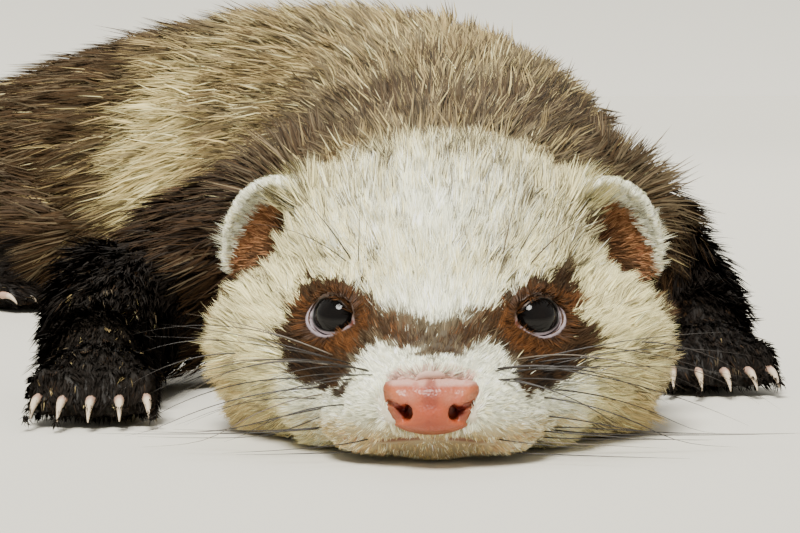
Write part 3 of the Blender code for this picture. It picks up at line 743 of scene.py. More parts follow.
def head_shares(head):
    """The pigments of the coat at points of the head."""
    folded = both_sides(head)
    back, up = folded.T[1:] / MM
    streaks = ripple(unit(head - np.array(HAIR_PARTS_FROM)) * 0.040 + 0.12 * head, 0.0034, 12)
    low_cheek = smooth_step(23, 4, up + 2.5 * ripple(head, 0.012, 7)) * smooth_step(14, 42, back)
    far = smooth_step(18, 34, back)
    cheek = smooth_step(22, 36, back) * smooth_step(30, 22, up)
    crown = smooth_step(34, 52, back) * smooth_step(24, 36, up)
    nape = smooth_step(58, 76, back)
    shares = lay(
        shares_of(len(head), "cream"),
        ("white", 0.85 * smooth_step(27, 14, back)),
        ("white", 0.80 * blob(folded, *FOREHEAD)),
        ("straw", 0.75 * low_cheek),
        ("beige", 0.40 * low_cheek * smooth_step(28, 52, back)),
        ("grey_brown", (0.08 + 0.26 * smooth_step(0.15, 0.9, streaks)) * far),
        ("dark_brown", 0.34 * smooth_step(0.22, 0.75, streaks) * cheek),
        ("grey_brown", 0.10 * ripple(head, 0.016, 8) * far),
        ("straw", 0.60 * smooth_step(8.0, 4.5, up) * smooth_step(26, 12, back)),
        ("ear_tan", 0.30 * smooth_step(6.0, 3.5, up) * smooth_step(14, 5, back)),
        ("dark_brown", (0.27 + 0.18 * streaks + 0.12 * ripple(head, 0.009, 9)) * crown),
        ("grey_brown", 0.45 * nape),
        ("dark_brown", (0.22 + 0.2 * ripple(head, 0.012, 10)) * nape),
    )
    shares = lay_face(shares, head, smooth_step(40, 32, back))
    shares = sharpened(lay_round_eyes_and_ears(shares, from_head(head)), back)
    above_pad = near_stroke(face_plane(folded), NOSE_TOP, 1.2)
    return lay(shares, ("pink", 0.80 * above_pad * smooth_step(9, 5, back)))


def trunk_shares(points, along):
    """The pigments of the trunk and tail: along is the distance from the nose."""
    height = points[:, 2] / MM
    broad, fine = ripple(points, 0.050, 21), ripple(points, 0.016, 22)
    shoulder = smooth_step(0.078, 0.096, along) * smooth_step(0.205, 0.160, along)
    shoulder *= smooth_step(52, 34, height + 5 * fine)
    nape = smooth_step(0.070, 0.084, along) * smooth_step(0.140, 0.105, along)
    flank = blob(points, np.array(ORIGIN) + np.array(FLANK_MIDDLE), FLANK_RADII)
    pale = smooth_step(0.28, 0.55, flank + 0.10 * fine + 0.08 * broad)
    hind = smooth_step(0.268, 0.298, along + 0.008 * fine)
    # Part of these browns' darkness is painted shade laid over the trunk, besides its own markings.
    return lay(
        shares_of(len(points), "beige"),
        ("sand", 0.40 + 0.28 * fine + 0.14 * broad),
        ("cream", 0.10 + 0.10 * fine),
        ("grey_brown", 0.34 + 0.26 * fine - 0.20 * broad),
        ("dark_brown", 0.22 + 0.12 * broad - 0.10 * fine),
        ("dark_brown", 0.80 * shoulder),
        ("black_brown", (0.24 - 0.20 * fine) * shoulder),
        ("grey_brown", (0.38 + 0.25 * fine) * shoulder),
        ("dark_brown", 0.24 * nape),
        ("grey_brown", 0.22 * nape),
        ("dark_brown", 0.55 * smooth_step(26, 14, height + 3 * fine)),
        ("sand", 0.92 * pale),
        ("cream", 0.26 * pale),
        ("dark_brown", 0.86 * hind),
        ("grey_brown", 0.26 * hind * smooth_step(0.44, 0.38, along)),
        ("black_brown", 0.85 * smooth_step(0.43, 0.50, along)),
    )


def shares_at(points, owners, along):
    """The pigments of the coat at points that belong to these solids."""
    head = to_head(points)
    on_head = smooth_step(0.074, 0.060, head[:, 1])
    on_head *= belonging(owners, "head", "neck", "ear_left", "ear_right")
    shares = trunk_shares(points, along) * (1 - on_head[:, None]) + head_shares(head) * on_head[:, None]
    for part, name, amount in LEG_COLOURS:
        own = belonging(owners, *(part + "_" + side for side in SIDES))
        shares = lay(shares, (name, own * amount))
    for name, side in SIDES.items():
        own = belonging(owners, "ear_" + name)
        inside, inner, _ = ear_inside(points, side)
        # the cup's own tan, darkened with chestnut and with dark brown by its inner front edge as painted
        # shade in the hollow
        shares = lay(
            shares, ("white", own * 0.8), ("ear_tan", own * np.clip(1.3 * inside, 0, 1)),
            ("chestnut", own * inside * 0.42), ("dark_brown", own * inside * inner * 0.80),
        )
    return shares


# The lie of the coat

def body_curve():
    """Closely set points along the body's line, their directions, and their distance from its start."""
    points = np.vstack((2 * BODY_LINE[0] - BODY_LINE[1], BODY_LINE, 2 * BODY_LINE[-1] - BODY_LINE[-2]))
    rows = []
    for a, b, c, d in zip(points, points[1:], points[2:], points[3:]):
        for share in np.linspace(0, 1, 16, endpoint=False):
            rows.append(0.5 * (2 * b + (c - a) * share + (2 * a - 5 * b + 4 * c - d) * share**2
                               + (3 * b - a - 3 * c + d) * share**3))
    rows = np.array(rows) + np.array(ORIGIN)[:2]
    steps = np.diff(rows, axis=0)
    directions = unit(np.vstack((steps, steps[-1:])))
    gone = np.concatenate(([0], np.cumsum(np.linalg.norm(steps, axis=1))))
    start = np.argmin(np.linalg.norm(rows - np.array(ORIGIN)[:2], axis=1))
    return rows, directions, gone - gone[start]


def along_body(points):
    """Each point's distance along the body from the nose, and the body's direction there."""
    line, directions, gone = body_curve()
    nearest = np.empty(len(points), int)
    portion = 20000
    for start in range(0, len(points), portion):
        away = points[start:start + portion, None, :2] - line[None]
        nearest[start:start + portion] = np.argmin(np.sum(away * away, axis=2), axis=1)
    flow = np.zeros((len(points), 3))
    flow[:, :2] = directions[nearest]
    return gone[nearest], flow


def hind_joints(middle, sign):
    """The joints of a hind leg in plan, given the middle of the rump."""
    out = Vector((RUMP_FORWARD.y, -RUMP_FORWARD.x, 0)) * sign
    return [middle + RUMP_FORWARD * ahead + out * aside for ahead, aside in HIND_LEG]


def leg_lines():
    """The line of each leg from its root to its toes, in plan, by the names of its nodes."""
    lines = {}
    for side, joints in FORELEGS.items():
        line = [ORIGIN.xy + Vector(joint) for joint in joints]
        line.append(line[-1] + (line[-1] - line[-2]) * 1.4)
        for part in ("upper_arm", "forearm", "fore_paw"):
            lines[part + "_" + side] = line
    for side, sign in HIND_SIDES.items():
        line = [joint.xy for joint in hind_joints(ORIGIN + RUMP, sign)]
        line.append(line[-1] + (line[-1] - line[-2]) * 0.8)
        lines["thigh_" + side] = line[:2]
        lines["shank_" + side] = line[1:3]
        lines["hind_foot_" + side] = line[2:]
    return lines


def flow_along(points, line):
    """The direction of the nearest stretch of a line, at each point."""
    line = np.array([tuple(place) for place in line])
    best = np.full(len(points), np.inf)
    flow = np.zeros((len(points), 3))
    for start, end in zip(line, line[1:]):
        reach = end - start
        share = np.clip(((points[:, :2] - start) @ reach) / (reach @ reach), 0, 1)
        away = np.linalg.norm(points[:, :2] - start - share[:, None] * reach, axis=1)
        closer = away < best
        best[closer] = away[closer]
        flow[closer, :2] = unit(reach)
    return flow


def lie_of_coat(points, owners):
    """The direction in which the hair lies at each point of the skin, before it is laid flat."""
    along, flow = along_body(points)
    flow[:, 2] -= 0.25
    for node, line in leg_lines().items():
        own = belonging(owners, node)
        flow[own] = flow_along(points[own], line)
        flow[own, 2] -= 0.3
    on_head = belonging(owners, "head")
    away = points[on_head] - from_head(HAIR_PARTS_FROM)
    head = to_head(points[on_head])
    away[:, 2] += 0.010 * smooth_step(0.014, 0.026, head[:, 2])
    away[:, 2] -= 0.016 * smooth_step(0.016, 0.006, head[:, 2]) * smooth_step(0.02, 0.04, head[:, 1])
    flow[on_head] = unit(away)
    for name, side in SIDES.items():
        own = belonging(owners, "ear_" + name)
        flow[own] = unit(points[own] - np.array(head_point(mirrored(EAR_ROOT, side))))
    return along, flow


# The skin

def join_flesh():
    """Copies of the solids of flesh, joined, swollen over their gaps and fused to one surface."""
    deselect()
    copies = [new_object("skin_of_" + name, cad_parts[name].data.copy()) for name in FLESH]
    for copy in copies:
        copy.select_set(True)
    bpy.context.view_layer.objects.active = copies[0]
    bpy.ops.object.join()
    skin = bpy.context.object
    skin.name = "skin"
    skin.data.materials.clear()
    edit_all(bpy.ops.mesh.remove_doubles, threshold=DOUBLES)
    bpy.ops.object.shade_smooth()
    add_modifier(skin, "DISPLACE", strength=SKIN_SWELL, mid_level=0.0)
    add_modifier(skin, "REMESH", mode="VOXEL", voxel_size=SKIN_CELL)
    return skin


def head_depth(head):
    """The coat's depth over the head, in millimetres: thin on the muzzle, deep on the cheeks."""
    folded = both_sides(head)
    back = folded[:, 1] / MM
    depth = 0.8 + 2.4 * smooth_step(10, 46, back) + 1.8 * smooth_step(44, 66, back)
    depth = depth + 2.4 * blob(folded, *DEEP_CHEEK)
    depth = depth * (1 - 0.75 * blob(folded, *ROUND_EYE))
    close = from_nose(head)
    raised = 0.30 - 0.60 * smooth_step(10.4, 11.4, folded[:, 2] / MM)
    return depth * smooth_step(0.3, 3.0, close) - raised * smooth_step(1.3, 0.5, close)


def eased(points, edges, stiffness, keep):
    """The surface softened: most on the trunk, less on the face, and least on ears and paws."""
    soft = spread(points, edges, 14)
    very_soft = spread(soft, edges, 30)
    firm = np.where(stiffness > 0.5, spread(points, edges, 2), soft)
    whole = firm * stiffness + very_soft * (1 - stiffness)
    return whole * (1 - keep) + spread(points, edges, 3) * keep


def prepare_skin():
    """The fused surface, softened, taken in by the depth of the coat, and thinned on the body."""
    skin = join_flesh()
    mesh = skin.data
    points, edges = coordinates(mesh), edges_of(mesh)
    owners, head = nearest_nodes(points), to_head(points)
    on_head = belonging(owners, "head")
    face = on_head & (head[:, 1] < FACE_REACH)
    fine = belonging(owners, *(node for node in FLESH if kind_of(node) in FINE_KINDS))
    stiffness = spread(face.astype(float), edges, 12)
    keep = spread(fine.astype(float), edges, 6)
    set_coordinates(mesh, eased(points, edges, stiffness[:, None], keep[:, None]))

    depth = np.array([COAT[kind_of(name)][0] for name in FLESH])[owners]
    depth = np.where(on_head, head_depth(head), depth)
    close = np.maximum(keep, stiffness * on_head)
    depth = spread(depth, edges, 25) * (1 - close) + spread(depth, edges, 4) * close
    depth *= 1 - 0.75 * smooth_step(0.485, 0.545, along_body(points)[0])
    facing = normals(mesh)
    depth *= 1 - 0.8 * smooth_step(-0.75, -0.98, facing[:, 2])
    moved = coordinates(mesh) - facing * depth[:, None] * MM
    moved[:, 2] = np.maximum(moved[:, 2], FLOOR_CLEARANCE)
    set_coordinates(mesh, moved)

    body = skin.vertex_groups.new(name="body")
    body.add([int(index) for index in np.flatnonzero(~face)], 1.0, "REPLACE")
    add_modifier(skin, "SMOOTH", factor=0.5, iterations=3, vertex_group="body")
    add_modifier(skin, "DECIMATE", ratio=0.53, vertex_group="body", vertex_group_factor=4.0)
    skin.vertex_groups.clear()
    carve_mouth(skin)
    bpy.ops.object.shade_smooth()
    return skin


def carve_mouth(skin):
    """Splits the faces along the mouth finely, and presses the mouth's line and the lip's cleft in."""
    for reach in (1.5, 0.9):
        head = to_head(coordinates(skin.data))
        cleft = (np.abs(head[:, 0]) < 0.0012) & (head[:, 2] < 0.0060) & (head[:, 1] < 0.006)
        near = ((mouth_offset(head) < reach) | cleft) & (head[:, 1] < 0.018)
        activate(skin)
        edit_all(bpy.ops.mesh.select_all, action="DESELECT")
        skin.data.vertices.foreach_set("select", near)
        bpy.ops.object.mode_set(mode="EDIT")
        bpy.ops.mesh.select_mode(type="VERT")
        bpy.ops.mesh.subdivide(number_cuts=1, smoothness=0.0)
        bpy.ops.mesh.quads_convert_to_tris()
        bpy.ops.object.mode_set(mode="OBJECT")
    points = coordinates(skin.data)
    head = to_head(points)
    press = 0.60 * bell(mouth_offset(head), 0.24)
    cleft = bell(head[:, 0], 0.00030) * smooth_step(3.2, 4.0, head[:, 2] / MM)
    press = np.maximum(press, 0.45 * cleft * smooth_step(5.6, 5.0, head[:, 2] / MM))
    press *= 0.25 + 0.75 * smooth_step(0.011, 0.005, np.abs(head[:, 0]))
    press *= smooth_step(0.018, 0.009, head[:, 1]) * (normals(skin.data)[:, 2] > -0.95)
    set_coordinates(skin.data, points - normals(skin.data) * press[:, None] * MM)


def paint_skin(thing):
    """The coat's own markings on the skin below it, darker as painted shade under the fur, with bare skin in
    the ears and at the nose.
    """
    points = coordinates(thing.data)
    owners = owners_of(points)
    head = to_head(points)
    colours = shares_at(points, owners, along_body(points)[0]) @ PALETTE * SKIN_SHADE
    for name, side in SIDES.items():
        inside, inner, _ = ear_inside(points, side)
        own = belonging(owners, "ear_" + name)
        # the ear's own skin in the cup, with dark brown by its inner front edge as painted shade in the
        # hollow
        colours = tinted(
            colours, ("ear_skin", own * (0.15 + 0.8 * inside)), ("dark_brown", own * inside * inner * 0.7)
        )
    bare = smooth_step(2.6, 0.6, from_nose(head)) * belonging(owners, "head")
    colours = tinted(colours, ("pink", (0.25 + 0.5 * smooth_step(0.0095, 0.0115, head[:, 2])) * bare))
    # painted shade: the skin inside each eye's opening, round the eyeball, is laid near black
    for side in SIDES.values():
        places = eye_places(points, side)
        within = smooth_step(0.25, 0.05, beyond_lid(places)) * (places[:, 2] > 0)
        colours = tinted(colours, ("socket", within))
    mouth = bell(mouth_offset(head), 0.26) * smooth_step(11, 4, np.abs(head[:, 0]) / MM)
    cleft = bell(head[:, 0], 0.00028) * (np.abs(head[:, 2] - 0.0045) < 0.0009)
    cleft *= head[:, 1] < 0.006
    paint(thing, tinted(colours, ("lip", np.maximum(mouth, 0.8 * cleft))), SKIN)


class Skin:
    """The finished skin with what the coat needs to know at each of its vertices."""

    def __init__(self, thing):
        mesh = thing.data
        mesh.calc_loop_triangles()
        corners = np.empty(len(mesh.loop_triangles) * 3, np.int32)
        mesh.loop_triangles.foreach_get("vertices", corners)
        self.triangles = corners.reshape(-1, 3)
        self.points = coordinates(mesh)
        self.normals = normals(mesh)
        self.owners = owners_of(self.points)
        self.along, flow = lie_of_coat(self.points, self.owners)
        edges = edges_of(mesh)
        fine = smooth_step(0.075, 0.060, self.along)[:, None]
        self.flow = unit(spread(flow, edges, 10) * fine + spread(flow, edges, 60) * (1 - fine))
        numbers = np.array([COAT[kind_of(name)] for name in FLESH])[self.owners]
        self.numbers = spread(numbers, edges, 8)
        self.density = self.numbers[:, 4] * self.thickness()

    def thickness(self):
        """How much more closely the hair is set than the coat's own number says."""
        head = to_head(self.points)
        on_head = belonging(self.owners, "head")
        thickness = np.where(on_head, 1 + 1.7 * smooth_step(0.055, 0.012, head[:, 1]), 1)
        above_nose = blob(both_sides(head), *ABOVE_NOSE)
        beside_nose = smooth_step(3.0, 1.0, from_nose(head)) * on_head
        thickness *= (1 + 1.2 * beside_nose) * (1 + 3.0 * above_nose * on_head)
        for name, side in SIDES.items():
            inside = ear_inside(self.points, side)[0]
            thickness *= 1 - 0.30 * inside * belonging(self.owners, "ear_" + name)
        return thickness * (1 - 0.85 * smooth_step(-0.80, -0.95, self.normals[:, 2]))

    def roots(self, chosen, amount):
        """Random places on the chosen triangles, more where the hair is set more closely."""
        corners = self.triangles[chosen]
        a, b, c = (self.points[corners[:, k]] for k in range(3))
        area = 0.5 * np.linalg.norm(np.cross(b - a, c - a), axis=1)
        total = np.cumsum(area * self.density[corners].mean(axis=1))
        picked = np.searchsorted(total, draw.uniform(0, total[-1], amount))
        picked = np.minimum(picked, len(corners) - 1)
        r = np.sqrt(draw.uniform(0, 1, amount))
        s = draw.uniform(0, 1, amount)
        return corners[picked], np.stack((1 - r, r * (1 - s), r * s), axis=1)


# The coat

def blend_of(field, corners, shares):
    values = field[corners]
    if values.ndim == 2:
        return np.sum(values * shares, axis=1)
    return np.sum(values * shares[:, :, None], axis=1)


def unwrap(points, along):
    """A flat map of the skin's own shape: round the body on one axis, along it on the other."""
    line, directions, gone = body_curve()
    places = np.interp(along, gone, line[:, 0]), np.interp(along, gone, line[:, 1])
    ahead = np.interp(along, gone, directions[:, 0]), np.interp(along, gone, directions[:, 1])
    aside = (points[:, 0] - places[0]) * ahead[1] - (points[:, 1] - places[1]) * ahead[0]
    across = np.arctan2(aside, points[:, 2] - SPINE_LEVEL) / (2 * np.pi) + 0.5
    lengthwise = (along - along.min()) / max(np.ptp(along), 1e-6)
    return 0.01 + 0.98 * np.stack((across, lengthwise), axis=1)


def tufts_of(root, size):
    """The tuft that each hair belongs to, numbered from 0; a tuft is about size across."""
    shift = np.stack([ripple(root, 2.6 * size, seed) for seed in (31, 32, 33)], axis=1)
    cell = np.floor((root + 0.45 * size * shift) / size).astype(np.int64)
    key = cell @ np.array((73856093, 19349663, 83492791))
    return np.unique(key, return_inverse=True)[1].ravel()


class Hair:
    """The hairs of one piece of the coat, one row each."""

    def __init__(self, skin, chosen, amount, tuft_size):
        corners, shares = skin.roots(chosen, amount)
        self.root = blend_of(skin.points, corners, shares)
        self.facing = unit(blend_of(skin.normals, corners, shares))
        self.flow = blend_of(skin.flow, corners, shares)
        self.along = blend_of(skin.along, corners, shares)
        self.owners = skin.owners[corners[:, 0]]
        numbers = blend_of(skin.numbers, corners, shares)
        self.lift = numbers[:, 2]
        numbers = numbers * draw.uniform(*HAIR_SPREAD, (amount, 1))
        self.length, self.width = numbers[:, 1] * MM, numbers[:, 3] * MM
        self.flat = unwrap(self.root, self.along)
        self.shape_on_head()
        self.stop_at_ears()
        self.shape_on_ears()
        kept = ~self.bare()
        for key, value in list(vars(self).items()):
            setattr(self, key, value[kept])
        self.cover_nose_top()
        self.tuft = tufts_of(self.root, tuft_size)
        self.tuft_sizes = np.bincount(self.tuft)

    def owned_by(self, *nodes):
        return belonging(self.owners, *nodes)

    def by_tuft(self, spread_out):
        """A random value around 0 that all the hairs of a tuft share."""
        return draw.normal(0.0, spread_out, len(self.tuft_sizes))[self.tuft]

    def bare(self):
        """Where no hair grows: in the eyes' openings and on the nose."""
        bare = from_nose(to_head(self.root)) < 0.06
        for side in SIDES.values():
            places = eye_places(self.root, side)
            upper = smooth_step(0.0, 0.0012, places[:, 1])
            bare |= (beyond_lid(places) < 0.78 - 0.45 * upper) & (places[:, 2] > 0)
        return bare & self.owned_by("head")

    def shape_on_head(self):
        """Short, flat hair on the muzzle and round the eyes, longer on crown and cheeks."""
        head = to_head(self.root)
        folded = both_sides(head)
        back = folded[:, 1] / MM
        reach = 1.8 + 3.4 * smooth_step(5, 27, back) + 2.8 * smooth_step(28, 55, back)
        reach = reach + 2.6 * blob(folded, *LONG_CHEEK)
        reach = reach * (1 - 0.38 * blob(folded, *BEHIND_EAR))
        steep = 13 + 19 * smooth_step(14, 50, back)
        near_mouth = bell(mouth_offset(head), 0.7)
        reach = reach * (1 - 0.50 * near_mouth * smooth_step(10, 4, folded[:, 0] / MM) * (back < 14))
        flow = unit(self.flow)
        for side in SIDES.values():
            places = eye_places(self.root, side)
            beyond = np.clip(beyond_lid(places), 0, 20) + 20 * (places[:, 2] < 0)
            near = bell(beyond, 2.6)
            away = unit(self.root - eye_axes(side)[0])
            on_lid = smooth_step(1.6, 1.0, beyond) * self.owned_by("head")
            self.root = self.root + self.facing * (0.00028 * on_lid)[:, None]
            flow = unit(flow * (1 - 0.85 * near)[:, None] + away * (0.85 * near)[:, None])
            reach = reach * (1 - 0.5 * bell(beyond, 3.4))
            steep = steep - 5 * near
        share = smooth_step(78, 58, back) * self.owned_by("head", "neck")
        self.flow = flow * share[:, None] + unit(self.flow) * (1 - share)[:, None]
        reach = reach * MM * draw.uniform(*HAIR_SPREAD, len(reach))
        self.length = self.length * (1 - share) + reach * share
        self.lift = self.lift * (1 - share) + steep * share
        self.width = self.width * (1 - 0.40 * share * smooth_step(50, 16, back))

    def stop_at_ears(self):
        """The hair of the head ends at the front edge of an ear's cup."""
        own = self.owned_by("head", "neck")
        flow = unit(unit(self.flow) + 0.4 * self.facing)
        full = self.length.copy()
        for share in np.linspace(1.0, 0.1, 10):
            seen = self.root + flow * (share * full)[:, None]
            for side in SIDES.values():
                places = ear_places(seen, side)
                over = own & (from_cup(places) < 0.88) & (places[:, 2] > -3.0) & (places[:, 2] < 12.0)
                self.length = np.where(over, np.maximum(share * full, 1.1 * MM), self.length)

    def shape_on_ears(self):
        """Shorter hair that stands up on the rim, and slightly longer hair inside."""
        for name, side in SIDES.items():
            own = self.owned_by("ear_" + name)
            inside, _, out = ear_inside(self.root, side)
            self.length = np.where(own, self.length * (1 + 0.25 * inside), self.length)
            rim = own * smooth_step(0.85, 1.1, out) * (1 - inside)
            self.length = self.length * (1 - 0.30 * rim)
            self.lift = self.lift + 10 * rim

    def cover_nose_top(self):
        """Fine fur comes forward over the top of the nose, up to the edge of its pad."""
        head = to_head(self.root)
        aside, back, up = both_sides(head).T / MM
        chosen = self.owned_by("head") & (aside < 6.4) & (up > 10.5)
        chosen &= draw.uniform(0, 1, len(aside)) < 0.62 * smooth_step(7.5, 3.5, back)
        for index in np.flatnonzero(chosen):
            ahead = draw.uniform(0.9, 3.5) * MM
            start = head_point((head[index, 0], ahead, 0.020))
            place, facing = NOSE_TREE.ray_cast(start, Vector((0, 0, -1)), 0.0096)[:2]
            if place is None:
                continue
            self.root[index], self.facing[index] = place, facing
            self.flow[index] = unit(from_head((head[index, 0] * 0.5, 0.004, 0.002)) - np.array(ORIGIN))
            self.length[index] = draw.uniform(0.5, 0.95) * MM
            self.lift[index] = 24

    def gathered(self, values, share):
        """Each hair's point moved by a share of the way to the mean of its tuft."""
        columns = [np.bincount(self.tuft, values[:, k]) / self.tuft_sizes for k in range(3)]
        return values + share * (np.stack(columns, axis=1)[self.tuft] - values)

    def blade_points(self):
        """The five corners of each hair's blade, and the way that it faces."""
        facing, count = self.facing, len(self.root)
        flow = unit(self.flow - facing * np.sum(self.flow * facing, axis=1)[:, None])
        side = np.cross(flow, facing)
        roll = draw.normal(0, 0.6, count)[:, None]
        sway = draw.normal(0, 0.13, count) + self.by_tuft(0.17)
        flow = unit(flow + side * sway[:, None])
        width_axis = unit(side * np.cos(roll) + facing * np.sin(roll))
        steep = 1 + draw.normal(0, 0.14, count) + self.by_tuft(0.20)
        steep = np.clip(np.radians(self.lift) * steep, 0.07, 1.2)[:, None]
        rise, lay_down = 1.35 * steep, 0.55 * steep
        first = flow * np.cos(rise) + facing * np.sin(rise)
        second = flow * np.cos(lay_down) + facing * np.sin(lay_down)
        reach = (self.length * (1 + 0.10 * self.by_tuft(1).clip(-2, 2)))[:, None]
        low = self.root - facing * HAIR_SUNK
        knee = low + first * reach * 0.45
        tip = self.gathered(knee + second * reach * 0.55, GATHER)
        knee = self.gathered(knee, 0.35 * GATHER)
        for place in (knee, tip):
            place[:, 2] = np.maximum(place[:, 2], FLOOR_CLEARANCE + draw.uniform(0, 0.0006, count))
        half = width_axis * (self.width / 2)[:, None]
        points = np.stack((low - half * 0.8, low + half * 0.8, knee - half, knee + half, tip), axis=1)
        points[:, :, 2] = np.maximum(points[:, :, 2], FLOOR_CLEARANCE)
        blade_facing = unit(np.cross(width_axis, second))
        blade_facing *= np.sign(np.sum(blade_facing * facing, axis=1))[:, None]
        return points, unit(0.62 * facing + 0.38 * blade_facing)

    def colours(self):
        """The colour of each hair at its root, knee and tip; the root is darkened as painted shade."""
        count = len(self.root)
        seen = self.root + unit(self.flow) * (0.5 * self.length)[:, None]
        shares = shares_at(seen, self.owners, self.along + 0.5 * self.length)
        own = draw.uniform(0, 1, count)
        common = draw.uniform(0, 1, len(self.tuft_sizes))[self.tuft]
        chance = np.where(draw.uniform(0, 1, count) < SHARED_CHANCE, common, own)
        picked = pigment_of(shares, chance)
        mean = shares @ PALETTE
        tone = np.exp(draw.normal(0, 0.17, count) + self.by_tuft(0.15))[:, None]
        tip = (0.74 * picked + 0.26 * mean) * tone
        under = 0.42 * picked + 0.58 * mean
        # painted shade: each root is darkened as if shaded by the hair over it, less so in the ears
        deep = np.where(self.owned_by("ear_left", "ear_right"), 0.60, 0.32)[:, None]
        return deep * under * tone, (0.48 * under + 0.44 * picked) * tone, tip


def pigment_of(shares, chance):
    """Each hair takes the pigment that its chance falls on."""
    total = np.cumsum(shares, axis=1)
    total /= total[:, -1:]
    return PALETTE[np.sum(chance[:, None] > total[:, :-1], axis=1)]


def make_coat(name, hair, slot):
    """A piece of the coat: one tapered, bent blade of three triangles at each root."""
    at_root, at_knee, at_tip = hair.colours()
    points, facing = hair.blade_points()
    count = len(points)
    mesh = bpy.data.meshes.new(name)
    mesh.vertices.add(count * 5)
    mesh.vertices.foreach_set("co", points.astype(np.float32).ravel())
    pattern = np.array((0, 1, 3, 0, 3, 2, 2, 3, 4))
    indices = (np.arange(count)[:, None] * 5 + pattern).ravel()
    mesh.loops.add(count * 9)
    mesh.loops.foreach_set("vertex_index", indices.astype(np.int32))
    mesh.polygons.add(count * 3)
    mesh.polygons.foreach_set("loop_start", np.arange(0, count * 9, 3, dtype=np.int32))
    mesh.polygons.foreach_set("use_smooth", np.ones(count * 3, bool))
    mesh.update(calc_edges=True)
    layer = mesh.uv_layers.new(name="OFBake")
    corner = np.array(((0.0, 0.0), (1.0, 0.0), (0.0, 0.5), (1.0, 0.5), (0.5, 1.0)))
    patch = hair.flat[:, None, :] + (corner - 0.5)[None] * BAKE_PATCH
    layer.data.foreach_set("uv", patch[:, pattern].astype(np.float32).ravel())
    made = new_object(name, mesh)
    shades = np.stack((at_root, at_root, at_knee, at_knee, at_tip), axis=1)
    paint(made, np.clip(shades.reshape(-1, 3), 0, 1), FUR)
    mesh.normals_split_custom_set_from_vertices(np.repeat(facing, 5, axis=0).astype(np.float32))
    finish_piece(made, slot)


def dress_in_coat(skin_thing):
    """Every piece of the coat, none of it where the animal lies on the floor."""
    skin = Skin(skin_thing)
    middle = skin.points[skin.triangles].mean(axis=1)
    head = to_head(middle)
    owner = skin.owners[skin.triangles[:, 0]]
    low = skin.normals[skin.triangles].mean(axis=1)[:, 2] < -0.97
    hidden = low & (middle[:, 2] < 0.004)

    def of(*kinds):
        return belonging(owner, *(node for node in FLESH if kind_of(node) in kinds)) & ~hidden

    left = head[:, 0] > 0
    muzzle = of("head") & (head[:, 1] < MUZZLE_REACH)
    crown = of("head") & ~muzzle & (head[:, 2] > CROWN_LEVEL)
    cheeks = of("head") & ~muzzle & ~crown
    regions = {
        "muzzle_left": muzzle & left, "muzzle_right": muzzle & ~left, "crown": crown,
        "cheek_left": cheeks & left, "cheek_right": cheeks & ~left, "ears": of("ear"),
        "neck": of("neck"), "chest": of("chest"), "loin": of("loin"), "rump": of("rump"),
        "tail": of("tail_base", "tail_end"), "forelegs": of(*LEG_PARTS[:3]),
        "hind_legs": of(*LEG_PARTS[3:]),
    }
    for place, amount, tuft_size, slot in COAT_PIECES:
        make_coat("coat_" + place, Hair(skin, regions[place], amount, tuft_size), slot)


# Eyes

def place_in_eye(thing, points, side):
    """Puts a mesh given in an eye's own axes on the head, with its faces outwards."""
    centre, axes = eye_axes(side)
    set_coordinates(thing.data, centre + points @ axes)
    face_outwards(thing)


def make_eye(name, side):
    """The eyeball, with its clear front bulging a little."""
    deselect()
    bpy.ops.mesh.primitive_uv_sphere_add(segments=72, ring_count=48, radius=EYE_RADIUS)
    eye = bpy.context.object
    eye.name = name
    points = coordinates(eye.data)
    front = smooth_step(0.35, 1.0, points[:, 2] / EYE_RADIUS)
    points *= (1 + EYE_BULGE * front)[:, None]
    place_in_eye(eye, points, side)
    eye.data.materials.append(EYE)
    finish_piece(eye, "eye_wet", name.replace("eyeball", "eye"))


def lid_places(side, angle, out, high, over_skin, surface):
    """The points of the lids in the eye's axes: near the opening on the eyeball, further out on the skin."""
    centre, axes = eye_axes(side)
    x, y = opening(angle)
    reach = np.maximum(np.hypot(x, y), 1e-6)
    upward = y / reach
    rim_width = 1 - 0.30 * np.clip(np.cos(angle), 0, 1) ** 2
    x, y = (x * (1 + out * rim_width * MM / reach), y * (1 + out * rim_width * MM / reach))
    ball = EYE_RADIUS * 1.02 + high * MM
    z = np.sqrt(np.maximum(ball**2 - x * x - y * y, (0.45 * ball) ** 2))
    places = np.stack((x, y, z), axis=1)
    share = np.maximum(smooth_step(0.30, 0.80, out), smooth_step(0.0031, 0.0040, x))
    over_skin = over_skin + 0.16 * smooth_step(0.2, 0.8, upward) * smooth_step(1.3, 0.7, out)
    for index in np.flatnonzero(share > 0):
        start = centre + np.array((x[index], y[index], 0.011)) @ axes
        found = surface.ray_cast(Vector(start), Vector(-axes[2]), 0.02)[0]
        if found is not None:
            level = (np.array(found) - centre) @ axes[2] + over_skin[index] * MM
            level = np.clip(level, z[index] - 0.0030, z[index] + 0.0022)
            places[index, 2] = z[index] * (1 - share[index]) + level * share[index]
    return places, upward


